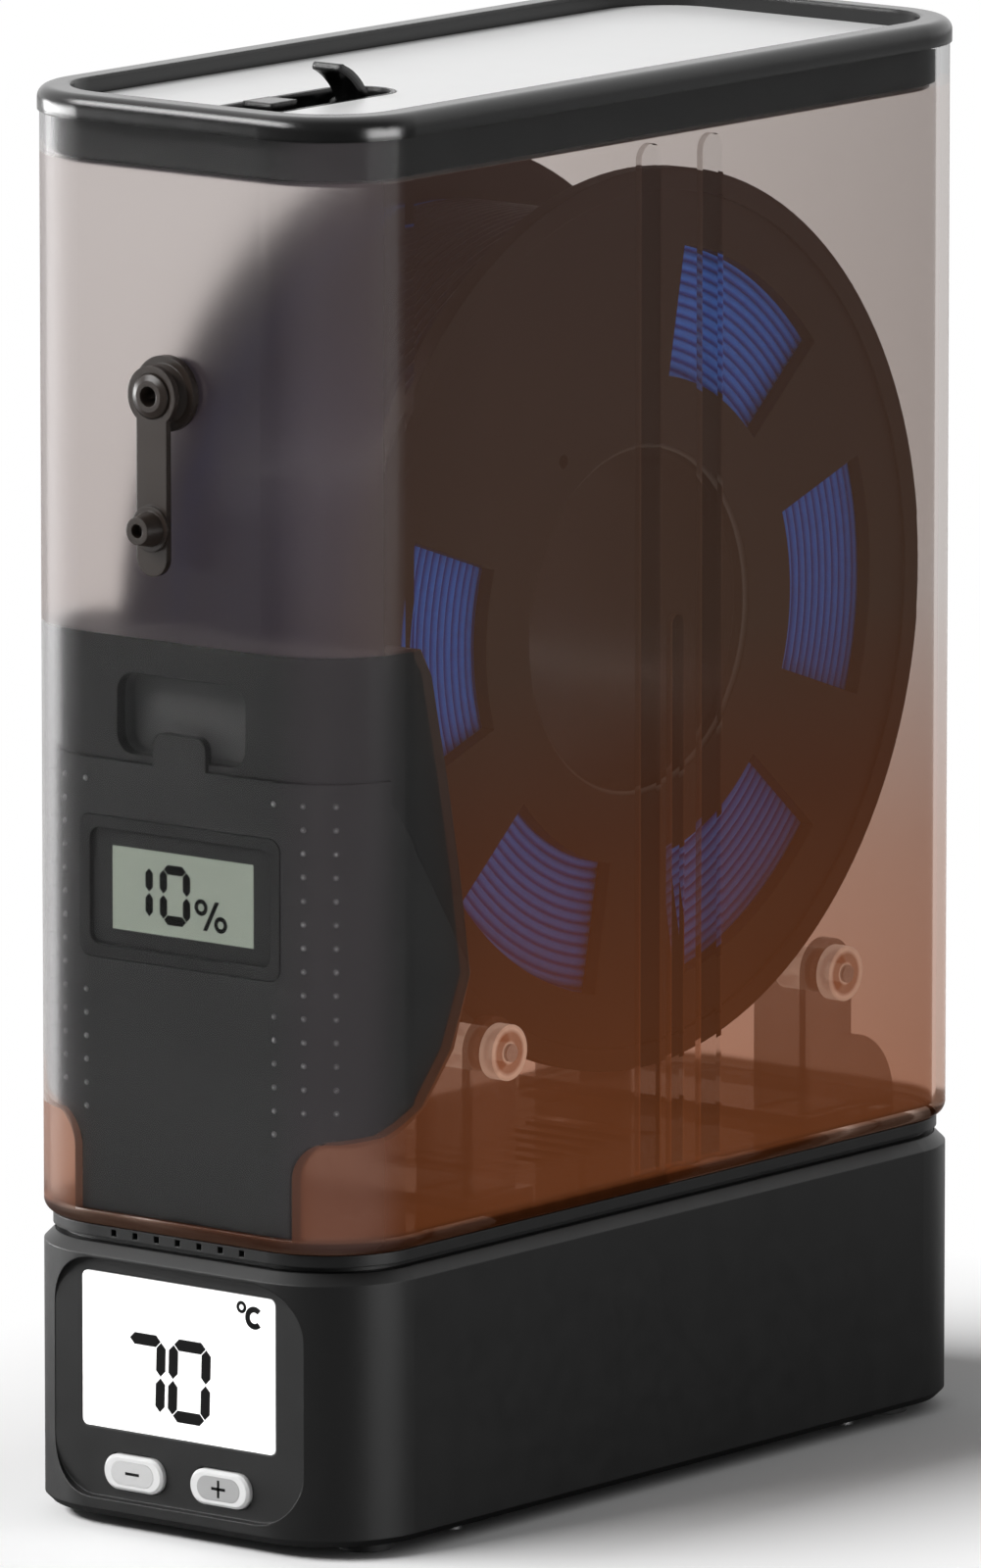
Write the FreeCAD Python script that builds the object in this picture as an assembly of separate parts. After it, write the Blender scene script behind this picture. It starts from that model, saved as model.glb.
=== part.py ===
import FreeCAD, Part
import math
import os
from FreeCAD import Vector

# Filament dryer box: a heated base, a clear container with a spool on rollers, and a sealed lid.
# Millimetres, +Z up, front face towards -Y, floor at Z = 0.

# Overall form; the plan and the height of the container follow from the spool and the rooms round it
SPOOL_SIDE_ROOM = 16.75
SPOOL_FRONT_ROOM = 22.75
SPOOL_BACK_ROOM = 5.75
SPOOL_LIFT = 20.5
SPOOL_HEADROOM = 19.0
CORNER_R = 23.5
FOOT_H = 3.0
BASE_H = 60.4
WALL = 3.0
RUN_GAP = 0.3
SEAT_GAP = 0.2

# Base
SHELL_WALL = 2.5
SHOULDER = 2.5
BASE_EDGE = 1.6
PLATE_T = 2.5
FOOT_R = 6.0
FOOT_IN_X = 13.0
FOOT_IN_Y = 22.5
BOSS_R = 5.0
BOSS_H = 18.0
BOSS_IN_Y = 44.25
BOSS_SINK = 0.5
SCREW_R = 1.5
SCREW_HEAD_R = 2.8
SCREW_HEAD_H = 1.6
LEDGE_W = 2.4
DECK_T = 2.6
NECK_INSET = 4.6
NECK_W = 3.2
NECK_H = 3.7
GRILLE_SLOTS = 9
GRILLE_PITCH = 8.0
GRILLE_SLOT_X = 34.0
GRILLE_SLOT_Y = 4.0

# Front panel with display and buttons
PANEL_MARGIN = 13.75
PANEL_Z = 53.2
PANEL_LOW = 7.0
PANEL_R = 12.0
PANEL_DEPTH = 2.2
PANEL_T = 1.8
DISPLAY_X = 54.3
DISPLAY_Z = 34.4
DISPLAY_LOW = 22.4
DISPLAY_R = 1.5
DISPLAY_T = 1.3
MODULE_EDGE = 3.0
MODULE_LIP = 1.0
MODULE_T = 5.0
BUTTON_X = 16.7
BUTTON_Z = 7.9
BUTTON_HIGH = 13.2
BUTTON_SPACING = 24.3
BUTTON_PROUD = 1.3
BUTTON_BEVEL = 0.6
BUTTON_FLANGE = 1.0
BUTTON_TRAVEL = 1.0
BUTTON_ROOM = 0.2
BOARD_MARGIN = 9.75
BOARD_Z = 44.0
BOARD_T = 1.6
SWITCH_SIDE = 6.0
SWITCH_T = 3.6
SWITCH_BODY_T = 2.5
PLUNGER_R = 1.7

# Heater, fan and fittings inside the base
FAN_SIDE = 60.0
FAN_T = 15.0
FAN_LIFT = 2.0
FAN_BORE_R = 28.0
FAN_HUB_R = 12.0
FAN_BLADES = 7
BLADE_T = 1.6
BLADE_TILT = 35.0
FAN_TIP_GAP = 1.0
MOTOR_R = 10.0
MOTOR_H = 3.0
STRUT_W = 4.0
SPINDLE_R = 2.0
SPINDLE_H = 9.0
SHAFT_FIT = 0.05
DUCT_WALL = 1.5
HEATER_T = 14.0
HEATER_LIFT = 8.0
HEATER_FINS = 8
HEATER_FIN_T = 1.2
HEATER_RAIL = 4.0
INTAKE_SLOTS = 6
INTAKE_PITCH = 8.0
INTAKE_X = 44.0
INTAKE_Y = 3.5
INLET_X = 14.0
INLET_Z = 22.0
INLET_BODY = 12.0
INLET_DEEP = 14.0
INLET_COLLAR_R = 5.4
INLET_BORE_R = 3.2
INLET_PIN_R = 1.0
INLET_PIN_SINK = 1.0
SENSOR_R = 2.2
SENSOR_H = 9.0
SENSOR_Y = 56.0
SENSOR_COLLAR_W = 1.5
SENSOR_COLLAR_H = 2.0

# Container
FLOOR_T = 3.0
TUB_EDGE_R = 3.0
RING_INSET = 2.0
RING_H = 2.6
RING_VENTS = 7
RING_VENT = 1.4
RING_VENT_PITCH = 6.0
RIB_PROUD = 1.6
LONG_RIB_W = 7.3
LONG_RIB_SPREAD = 21.6
RIB_HEADROOM = 2.2
SHORT_RIB_W = 4.5
SHORT_RIB_H = 123.7
SHORT_RIB_OFFSET = -1.1
RIB_OFFSET = -2.6

# Spool and filament
SPOOL_R = 100.0
SPOOL_WIDTH = 64.0
FLANGE_T = 3.5
FLANGE_RIM_W = 5.0
FLANGE_RIM_PROUD = 0.8
SPOOL_BORE_R = 38.0
BORE_BEVEL = 1.0
HUB_T = 3.0
WINDOW_IN_R = 54.0
WINDOW_OUT_R = 83.0
WINDOW_HALF = 19.0
WINDOW_STEP = 60.0
WINDOW_COUNT = 5
WINDOW_FIRST = 60.0
END_HOLE_R = 1.5
END_HOLE_OUT = 47.0
END_HOLE_ANGLE = 125.0
FILAMENT_R = 86.0
FILAMENT_DIA = 1.75
TURNS = 22
TURN_PITCH = 2.4
TURN_GAP = 0.3
TURN_ARC = 90.0

# Rollers and their cradles
ROLLER_R = 5.0
ROLLER_SHARE = 0.6
ROLLER_LEAD = 1.5
ROLLER_DRUM = 8.4
JOURNAL_R = 3.0
JOURNAL_L = 4.4
DISC_R = 6.2
DISC_T = 3.5
AXLE_R = 2.0
AXLE_OVER = 0.8
POST_T = 3.0
POST_HALF = 7.5
CRADLE_T = 2.5
CRADLE_HALF = 11.0
CRADLE_MARGIN = 2.0
POST_ROOM = 0.7
GUSSET_R = 16.0
GUSSET_LAP = 0.5

# Desiccant box behind the front wall
BIN_GAP = 0.4
BIN_RIM = 7.8
BIN_BACK = 18.3
BIN_WALL = 2.0
WING_ROOM = 4.0
WING_LIFT = 20.6
WING_REACH = 47.6
COVER_T = 2.0
COVER_H = 100.0
COVER_REACH = 20.1
COVER_DROP = 4.8
CREASE_REACH = 46.9
CREASE_H = 54.8
COVER_STEP = 0.8
TONGUE_X = 60.0
TONGUE_H = 25.0
TONGUE_T = 4.5
TONGUE_FLARE = 9.0
TONGUE_LIP = 3.0
GRIP_X = 36.0
GRIP_Z = 17.9
GRIP_GAP = 1.7
GRIP_R = 4.5
GRIP_DEEP = 7.0
TAB_X = 14.8
TAB_H = 7.4
TAB_R = 3.0
HYGRO_X = 56.0
HYGRO_Z = 31.5
HYGRO_LIFT = 56.2
HYGRO_R = 3.0
HYGRO_T = 9.0
HYGRO_FRAME = 2.6
HYGRO_SINK = 1.2
LENS_X = 39.7
LENS_Z = 18.5
LENS_LIFT = 6.4
LENS_T = 1.2
CELL_R = 10.0
CELL_T = 3.0
PACK_MARGIN = 10.75
PACK_Z = 22.0
PACK_ROOM = 0.6

# Filament outlet and plug
PORT_DROP = 56.9
PORT_HOLE_R = 5.5
PORT_FLANGE_R = 8.3
PORT_FLANGE_T = 1.8
PORT_BACK_R = 7.4
PORT_BACK_T = 1.6
NOSE_ROOT_R = 6.6
NOSE_TIP_R = 4.4
NOSE_L = 2.6
NECK_R = 3.4
NECK_L = 1.9
NOSE_LIP_R = 5.0
NOSE_LIP_L = 0.8
PORT_BORE_R = 2.2
PORT_FLARE_R = 4.0
PORT_FLARE_OUT = 0.8
STRAP_W = 8.4
STRAP_T = 1.5
STRAP_EYE_R = 6.6
STRAP_FIT = 0.08
STRAP_L = 39.3
PLUG_DROP = 28.8
PLUG_R = 4.0
PLUG_TIP_R = 3.0
PLUG_L = 5.0
PLUG_DIMPLE_R = 1.5
PLUG_DIMPLE = 2.5
PLUG_COLLAR_W = 1.0
PLUG_COLLAR_T = 0.8

# Lid
LID_OVER = 0.5
LID_H = 5.2
LID_RIM_W = 6.6
LID_EDGE_R = 2.7
LID_LEDGE_W = 3.0
LID_LEDGE_T = 1.6
LID_SKIRT_T = 2.0
LID_SKIRT_H = 10.2
LID_PANEL_T = 1.8
LID_PANEL_SINK = 3.8
GASKET_H = 8.6
CUP_X = 15.0
CUP_START = 17.5
CUP_L = 54.0
CUP_DEEP = 11.5
CUP_WALL = 1.2
CUP_FLANGE = 1.6
LEVER_IN = 63.75
LEVER_W = 7.6
LEVER_T = 2.6
LEVER_TIP_T = 2.0
LEVER_BOW = 1.8
LEVER_UP = 14.4
LEVER_LEAN = 40.0
LEVER_EYE_R = 2.6
LEVER_PIN_R = 1.0
BRACKET_IN = 30.2
BRACKET_L = 8.6
BRACKET_W = 8.0
BRACKET_H = 8.9
CHEEK_T = 1.6
CHEEK_HALF = 3.2
LEVER_SIDE_GAP = 0.3

# Side view of the desiccant box from its rear top corner round to its low front corner:
# shares of the wing's reach and of its height
WING_SHAPE = [(0.643, 1.0), (0.721, 0.941), (0.840, 0.712), (0.933, 0.505), (1.0, 0.311),
              (0.859, 0.166), (0.647, 0.059), (0.422, 0.011), (0.240, 0.0)]
WING_TURN = 5

# Small trim that keeps a round end from closing on itself, and the margin of cutting shapes
ROUND_TRIM = 0.01
CUT_MARGIN = 1.0

# Heights and lines worked out from the sizes above
PLAN_X = SPOOL_WIDTH + 2 * SPOOL_SIDE_ROOM
PLAN_Y = SPOOL_FRONT_ROOM + 2 * SPOOL_R + SPOOL_BACK_ROOM
SHELL_TOP = FOOT_H + BASE_H
DECK_TOP = SHELL_TOP - SEAT_GAP
NECK_TOP = DECK_TOP + NECK_H
TUB_BOTTOM = NECK_TOP + RUN_GAP
FLOOR_TOP = TUB_BOTTOM + FLOOR_T
FRONT = -PLAN_Y / 2
BACK = PLAN_Y / 2
SIDE = PLAN_X / 2
SPOOL_Y = FRONT + SPOOL_FRONT_ROOM + SPOOL_R
SPOOL_Z = FLOOR_TOP + SPOOL_LIFT + SPOOL_R
TUB_TOP = SPOOL_Z + SPOOL_R + SPOOL_HEADROOM
LID_BOTTOM = TUB_TOP + RUN_GAP
LID_TOP = LID_BOTTOM + LID_H
PANEL_X = PLAN_X - 2 * PANEL_MARGIN
BOARD_X = PLAN_X - 2 * BOARD_MARGIN
PANEL_FACE = FRONT + PANEL_DEPTH
PANEL_BACK = PANEL_FACE + PANEL_T
PLATE_TOP = FOOT_H + PLATE_T
FLANGE_OUT = SPOOL_WIDTH / 2
FLANGE_IN = FLANGE_OUT - FLANGE_T
ROLLER_INNER = FLANGE_IN - ROLLER_LEAD
ROLLER_HALF = SPOOL_R * ROLLER_SHARE
ROLLER_DROP = math.sqrt((SPOOL_R + ROLLER_R + RUN_GAP) ** 2 - ROLLER_HALF ** 2)
ROLLER_Z = SPOOL_Z - ROLLER_DROP
POST_IN_X = ROLLER_INNER - POST_ROOM - POST_T
POST_OUT_X = ROLLER_INNER + ROLLER_DRUM + POST_ROOM
DISC_X = ROLLER_INNER + ROLLER_DRUM + JOURNAL_L
AXLE_END = DISC_X + DISC_T + AXLE_OVER
GASKET_LOW = LID_BOTTOM - SEAT_GAP - GASKET_H
RIB_Y = SPOOL_Y + RIB_OFFSET
LONG_RIB_TOP = GASKET_LOW - RIB_HEADROOM
SHORT_RIB_TOP = FLOOR_TOP + SHORT_RIB_H
BIN_INSET = WALL + BIN_GAP
BIN_FRONT = FRONT + BIN_INSET
BIN_REAR = BIN_FRONT + BIN_BACK
WING_IN = FLANGE_OUT + WING_ROOM
WING_LOW = FLOOR_TOP + WING_LIFT
COVER_TOP = FLOOR_TOP + COVER_H
CREASE_Z = FLOOR_TOP + CREASE_H
TONGUE_TOP = FLOOR_TOP + TONGUE_H
GRIP_LOW = COVER_TOP + GRIP_GAP
BIN_TOP = GRIP_LOW + GRIP_Z + BIN_RIM
TAB_TOP = COVER_TOP + TAB_H
HYGRO_LOW = FLOOR_TOP + HYGRO_LIFT
LENS_LOW = HYGRO_LOW + LENS_LIFT
PACK_X = PLAN_X - 2 * PACK_MARGIN
PORT_Z = TUB_TOP - PORT_DROP
STRAP_END = PORT_Z - STRAP_L
PLUG_Z = PORT_Z - PLUG_DROP
LID_SKIRT_INSET = LID_RIM_W - LID_SKIRT_T
CUP_FRONT = FRONT + CUP_START
CUP_BACK = CUP_FRONT + CUP_L
LEVER_Y = FRONT + LEVER_IN
BRACKET_FRONT = FRONT + BRACKET_IN
BRACKET_BACK = BRACKET_FRONT + BRACKET_L
STRAP_ROOT = FRONT - PORT_FLANGE_T - NOSE_L
PLUG_FRONT = STRAP_ROOT - STRAP_T - STRAP_FIT - PLUG_L

# The plug reaches out past the front wall, so the whole part moves back until its box is centred
FRAME_SHIFT = -(PLUG_FRONT + BACK + LID_OVER) / 2


def save(shape, name):
    """Write one piece, moved so that the part's box is centred on the origin."""
    placed = shape.copy()
    placed.translate(Vector(0, FRAME_SHIFT, 0))
    placed.exportStep("parts/" + name + ".step")


def joined(shapes):
    """Fuse touching solids into one."""
    first = shapes[0]
    return first.fuse(shapes[1:]).removeSplitter()


def box(x0, x1, y0, y1, z0, z1):
    """Box between two corners."""
    return Part.makeBox(x1 - x0, y1 - y0, z1 - z0, Vector(x0, y0, z0))


def rod(radius, start, end):
    """Round bar between two points."""
    line = end.sub(start)
    return Part.makeCylinder(radius, line.Length, start, line)


def rod_x(radius, x0, x1, y, z):
    """Round bar along X."""
    return rod(radius, Vector(x0, y, z), Vector(x1, y, z))


def rod_y(radius, y0, y1, x, z):
    """Round bar along Y."""
    return rod(radius, Vector(x, y0, z), Vector(x, y1, z))


def rod_z(radius, z0, z1, x, y):
    """Round bar along Z."""
    return rod(radius, Vector(x, y, z0), Vector(x, y, z1))


def rounded_wire(half_a, half_b, radius):
    """Rounded rectangle round the origin in the XY plane."""
    corners = []
    for sign_a, sign_b, turn in ((1, 1, 0), (-1, 1, 90), (-1, -1, 180), (1, -1, 270)):
        centre = Vector(sign_a * (half_a - radius), sign_b * (half_b - radius), 0)
        points = []
        for degrees in (turn, turn + 45, turn + 90):
            angle = math.radians(degrees)
            points.append(centre.add(Vector(radius * math.cos(angle), radius * math.sin(angle), 0)))
        corners.append(points)
    edges = []
    for index, points in enumerate(corners):
        edges.append(Part.Arc(*points).toShape())
        ahead = corners[(index + 1) % 4][0]
        if ahead.sub(points[2]).Length > 1e-6:
            edges.append(Part.makeLine(points[2], ahead))
    return Part.Wire(edges)


def plan_prism(inset, z0, z1):
    """Prism on the plan outline, drawn in by an inset."""
    wire = rounded_wire(SIDE - inset, BACK - inset, CORNER_R - inset)
    wire.translate(Vector(0, 0, z0))
    return Part.Face(wire).extrude(Vector(0, 0, z1 - z0))


def plan_ring(inset_out, inset_in, z0, z1):
    """Ring between two insets of the plan outline."""
    return plan_prism(inset_out, z0, z1).cut(plan_prism(inset_in, z0, z1))


def upright_plate(size_x, size_z, radius, y0, y1, x, low):
    """Rounded plate in the XZ plane, standing on a given height."""
    wire = rounded_wire(size_x / 2, size_z / 2, radius)
    face = Part.Face(wire)
    face.rotate(Vector(0, 0, 0), Vector(1, 0, 0), 90)
    face.translate(Vector(x, y0, low + size_z / 2))
    return face.extrude(Vector(0, y1 - y0, 0))


def side_prism(points, x0, x1):
    """Prism along X on a polygon of (Y, Z) points."""
    corners = [Vector(x0, y, z) for y, z in points]
    wire = Part.makePolygon(corners + corners[:1])
    return Part.Face(wire).extrude(Vector(x1 - x0, 0, 0))


def mirror_x(shape):
    """Copy on the other side of the YZ plane."""
    return shape.mirror(Vector(0, 0, 0), Vector(1, 0, 0))


def level_edges(shape, z, longest):
    """Edges lying in one level plane and inside a box no longer than the given size."""
    found = []
    for edge in shape.Edges:
        bound = edge.BoundBox
        if abs(bound.ZMin - z) < 1e-4 and abs(bound.ZMax - z) < 1e-4 and bound.YLength < longest:
            found.append(edge)
    return found


def base_shell():
    """Moulded housing, open below, with a bevelled shoulder and the front panel recess."""
    outer = plan_prism(0, FOOT_H, SHELL_TOP)
    outer = outer.makeChamfer(SHOULDER, level_edges(outer, SHELL_TOP, PLAN_Y + CUT_MARGIN))
    outer = outer.makeChamfer(BASE_EDGE, level_edges(outer, FOOT_H, PLAN_Y + CUT_MARGIN))
    shell = outer.cut(plan_prism(SHELL_WALL, FOOT_H, SHELL_TOP))
    half = PANEL_X / 2 + PANEL_T
    backing = box(-half, half, PANEL_FACE, PANEL_BACK, PLATE_TOP, DECK_TOP - DECK_T)
    shell = shell.fuse(backing.common(plan_prism(SHELL_WALL / 2, FOOT_H, SHELL_TOP)))
    ledge_top = DECK_TOP - DECK_T
    shell = shell.fuse(plan_ring(SHELL_WALL, SHELL_WALL + LEDGE_W, ledge_top - LEDGE_W, ledge_top))
    for x, y in boss_places():
        boss = rod_z(BOSS_R, PLATE_TOP, PLATE_TOP + BOSS_H, x, y)
        shell = shell.fuse(boss.common(plan_prism(0, FOOT_H, SHELL_TOP)))
    for x, y in boss_places():
        shell = shell.cut(rod_z(SCREW_R, PLATE_TOP, PLATE_TOP + BOSS_H - WALL, x, y))
    shell = shell.cut(upright_plate(PANEL_X, PANEL_Z, PANEL_R, FRONT, PANEL_FACE, 0, PANEL_LOW))
    window = upright_plate(
        DISPLAY_X + 2 * SEAT_GAP, DISPLAY_Z + 2 * SEAT_GAP, DISPLAY_R + SEAT_GAP,
        FRONT, PANEL_BACK, 0, DISPLAY_LOW - SEAT_GAP)
    shell = shell.cut(window)
    for x in button_places():
        slot = upright_plate(
            BUTTON_X + 2 * RUN_GAP, BUTTON_Z + 2 * RUN_GAP, BUTTON_Z / 2 + RUN_GAP - ROUND_TRIM,
            FRONT, PANEL_BACK, x, BUTTON_HIGH - BUTTON_Z / 2 - RUN_GAP)
        shell = shell.cut(slot)
    shell = shell.cut(rod_y(INLET_COLLAR_R + SEAT_GAP, BACK - SHELL_WALL, BACK, INLET_X, INLET_Z))
    return shell.removeSplitter()


def boss_places():
    """Centres of the four screw bosses against the long walls."""
    x = SIDE - SHELL_WALL - BOSS_R + BOSS_SINK
    y = BACK - BOSS_IN_Y
    return [(sign_x * x, sign_y * y) for sign_x in (1, -1) for sign_y in (1, -1)]


def button_places():
    """X of the minus and plus buttons."""
    return (-BUTTON_SPACING / 2, BUTTON_SPACING / 2)


def bottom_plate():
    """Cover under the base, with air intake slots and screw holes."""
    plate = plan_prism(SHELL_WALL + SEAT_GAP, FOOT_H, PLATE_TOP)
    for index in range(INTAKE_SLOTS):
        y = (index - (INTAKE_SLOTS - 1) / 2) * INTAKE_PITCH
        low = y - INTAKE_Y / 2
        plate = plate.cut(box(-INTAKE_X / 2, INTAKE_X / 2, low, low + INTAKE_Y, FOOT_H, PLATE_TOP))
    for x, y in boss_places():
        plate = plate.cut(rod_z(SCREW_R, FOOT_H, PLATE_TOP, x, y))
    return plate


def rubber_feet():
    """Four round feet."""
    feet = []
    for sign_x in (1, -1):
        for sign_y in (1, -1):
            x = sign_x * (SIDE - FOOT_IN_X)
            y = sign_y * (BACK - FOOT_IN_Y)
            feet.append(rod_z(FOOT_R, 0, FOOT_H, x, y))
    return Part.makeCompound(feet)


def bottom_screws():
    """Four pan-head screws through the bottom plate into the bosses."""
    screws = []
    for x, y in boss_places():
        shank = rod_z(SCREW_R - SHAFT_FIT, FOOT_H, PLATE_TOP + BOSS_H / 2, x, y)
        head = rod_z(SCREW_HEAD_R, FOOT_H - SCREW_HEAD_H, FOOT_H, x, y)
        screws.append(joined([shank, head]))
    return Part.makeCompound(screws)


def top_deck():
    """Deck that closes the base, with the neck that the container seats on and the hot air grille."""
    deck = plan_prism(SHELL_WALL + SEAT_GAP, DECK_TOP - DECK_T, DECK_TOP)
    neck = plan_ring(NECK_INSET, NECK_INSET + NECK_W, DECK_TOP, NECK_TOP)
    deck = joined([deck, neck])
    for y in grille_places():
        deck = deck.cut(grille_slot(y, DECK_TOP - DECK_T, DECK_TOP))
    return deck.cut(rod_z(SENSOR_R, DECK_TOP - DECK_T, DECK_TOP, 0, SENSOR_Y))


def grille_places():
    """Y of each slot of the hot air grille."""
    return [(index - (GRILLE_SLOTS - 1) / 2) * GRILLE_PITCH for index in range(GRILLE_SLOTS)]


def grille_slot(y, z0, z1):
    """One slot of the grille."""
    half_x = GRILLE_SLOT_X / 2
    half_y = GRILLE_SLOT_Y / 2
    return box(-half_x, half_x, y - half_y, y + half_y, z0, z1)


def display_window():
    """Flat clear window over the lower display."""
    return upright_plate(DISPLAY_X, DISPLAY_Z, DISPLAY_R, PANEL_FACE, PANEL_FACE + DISPLAY_T, 0, DISPLAY_LOW)


def display_module():
    """Display cell clipped behind the window."""
    y = PANEL_BACK + SEAT_GAP
    size_x = DISPLAY_X + 2 * MODULE_EDGE
    size_z = DISPLAY_Z + MODULE_LIP
    frame = box(-size_x / 2, size_x / 2, y, y + MODULE_T, DISPLAY_LOW, DISPLAY_LOW + size_z)
    half = DISPLAY_X / 2 - DISPLAY_R
    glass = box(-half, half, PANEL_FACE + DISPLAY_T + SEAT_GAP, y,
                DISPLAY_LOW + DISPLAY_R, DISPLAY_LOW + DISPLAY_Z - DISPLAY_R)
    return joined([frame, glass])


def board_face():
    """Y of the control board's front face."""
    return PANEL_BACK + BUTTON_FLANGE + BUTTON_TRAVEL + BUTTON_ROOM + SWITCH_T + RUN_GAP


def control_board():
    """Circuit board standing behind the display and the switches."""
    low = PANEL_LOW
    return box(-BOARD_X / 2, BOARD_X / 2, board_face(), board_face() + BOARD_T, low, low + BOARD_Z)


def button_switches():
    """Two tact switches on the control board."""
    half = SWITCH_SIDE / 2
    switches = []
    for x in button_places():
        body = box(x - half, x + half, board_face() - SWITCH_BODY_T, board_face(),
                   BUTTON_HIGH - half, BUTTON_HIGH + half)
        plunger = rod_y(PLUNGER_R, board_face() - SWITCH_T, board_face() - SWITCH_BODY_T, x, BUTTON_HIGH)
        switches.append(joined([body, plunger]))
    return Part.makeCompound(switches)


def push_button(x):
    """Oblong cap with a flange that stops it behind the front wall."""
    cap = upright_plate(
        BUTTON_X, BUTTON_Z, BUTTON_Z / 2 - ROUND_TRIM, PANEL_FACE - BUTTON_PROUD, PANEL_BACK + RUN_GAP,
        x, BUTTON_HIGH - BUTTON_Z / 2)
    front = [edge for edge in cap.Edges if abs(edge.BoundBox.YMax - PANEL_FACE + BUTTON_PROUD) < 1e-4]
    cap = cap.makeChamfer(BUTTON_BEVEL, front)
    flange_z = BUTTON_Z + 2 * BUTTON_FLANGE
    flange = upright_plate(
        BUTTON_X + 2 * BUTTON_FLANGE, flange_z, BUTTON_Z / 2, PANEL_BACK + RUN_GAP,
        PANEL_BACK + RUN_GAP + BUTTON_FLANGE, x, BUTTON_HIGH - flange_z / 2)
    return joined([cap, flange])


def fan_frame():
    """Square axial fan housing with a motor mount on four struts."""
    low = PLATE_TOP
    high = low + FAN_LIFT + FAN_T
    half = FAN_SIDE / 2
    frame = box(-half, half, -half, half, low, high).cut(rod_z(FAN_BORE_R, low, high, 0, 0))
    mount = rod_z(MOTOR_R, low, low + MOTOR_H, 0, 0)
    struts = []
    for index in range(4):
        strut = box(0, FAN_BORE_R + CUT_MARGIN, -STRUT_W / 2, STRUT_W / 2, low, low + MOTOR_H)
        strut.rotate(Vector(0, 0, 0), Vector(0, 0, 1), 45 + 90 * index)
        struts.append(strut)
    spindle = rod_z(SPINDLE_R, low, low + SPINDLE_H, 0, 0)
    return joined([frame, mount, spindle] + struts)


def fan_rotor():
    """Hub and tilted blades that turn on the spindle."""
    low = PLATE_TOP + MOTOR_H + 2 * RUN_GAP
    high = PLATE_TOP + FAN_LIFT + FAN_T - RUN_GAP
    hub = rod_z(FAN_HUB_R, low, high, 0, 0)
    rotor = hub
    middle = (low + high) / 2
    span = (high - low) / 2 / math.cos(math.radians(BLADE_TILT)) - BLADE_T
    reach = rod_z(FAN_BORE_R - FAN_TIP_GAP, low, high, 0, 0)
    for index in range(FAN_BLADES):
        blade = box(FAN_HUB_R - BLADE_T, FAN_BORE_R, -BLADE_T / 2, BLADE_T / 2, -span, span)
        blade.rotate(Vector(0, 0, 0), Vector(1, 0, 0), BLADE_TILT)
        blade.translate(Vector(0, 0, middle))
        blade.rotate(Vector(0, 0, 0), Vector(0, 0, 1), 360 * index / FAN_BLADES)
        rotor = rotor.fuse(blade.common(reach))
    bore = rod_z(SPINDLE_R + SHAFT_FIT, low, PLATE_TOP + SPINDLE_H + RUN_GAP, 0, 0)
    return rotor.removeSplitter().cut(bore)


def air_duct():
    """Square duct from the fan up to the grille, which also holds the heater."""
    low = PLATE_TOP + FAN_LIFT + FAN_T
    high = DECK_TOP - DECK_T
    outer = FAN_SIDE / 2
    inner = outer - DUCT_WALL
    duct = box(-outer, outer, -outer, outer, low, high).cut(box(-inner, inner, -inner, inner, low, high))
    rail = heater_low()
    shelf = box(-inner, inner, -inner, inner, rail - DUCT_WALL, rail)
    opening = box(-inner + HEATER_RAIL, inner - HEATER_RAIL, -inner, inner, rail - DUCT_WALL, rail)
    return joined([duct, shelf.cut(opening)])


def heater_low():
    """Height of the heater's seat in the duct."""
    return PLATE_TOP + FAN_LIFT + FAN_T + HEATER_LIFT


def heater_element():
    """Ceramic heater bar between two finned aluminium blocks."""
    inner = FAN_SIDE / 2 - DUCT_WALL - SEAT_GAP
    low = heater_low()
    core = box(-inner, inner, -HEATER_FIN_T * 2, HEATER_FIN_T * 2, low, low + HEATER_T)
    ends = []
    for sign in (1, -1):
        edge = sign * (inner - HEATER_FIN_T)
        ends.append(box(min(edge, sign * inner), max(edge, sign * inner), -inner, inner, low, low + HEATER_T))
    fins = []
    for index in range(HEATER_FINS):
        x = (index + 1) * 2 * inner / (HEATER_FINS + 1) - inner
        fins.append(box(x - HEATER_FIN_T / 2, x + HEATER_FIN_T / 2, -inner, inner, low, low + HEATER_T))
    return joined([core] + ends + fins)


def dc_inlet():
    """Barrel power inlet in the rear wall."""
    inner = BACK - SHELL_WALL
    end = inner - INLET_DEEP
    half = INLET_BODY / 2
    body = box(INLET_X - half, INLET_X + half, end, inner - SEAT_GAP, INLET_Z - half, INLET_Z + half)
    collar = rod_y(INLET_COLLAR_R, inner - SEAT_GAP, BACK, INLET_X, INLET_Z)
    bore = rod_y(INLET_BORE_R, end + WALL, BACK, INLET_X, INLET_Z)
    pin = rod_y(INLET_PIN_R, end + WALL - INLET_PIN_SINK, BACK - INLET_PIN_SINK, INLET_X, INLET_Z)
    return joined([body, collar]).cut(bore).fuse(pin).removeSplitter()


def temperature_sensor():
    """Probe pressed up through the deck into the air stream."""
    stem = rod_z(SENSOR_R - SHAFT_FIT, DECK_TOP - DECK_T - SENSOR_H, DECK_TOP + NECK_H / 2, 0, SENSOR_Y)
    under = DECK_TOP - DECK_T
    collar = rod_z(SENSOR_R + SENSOR_COLLAR_W, under - SENSOR_COLLAR_H, under, 0, SENSOR_Y)
    return joined([stem, collar])


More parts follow.
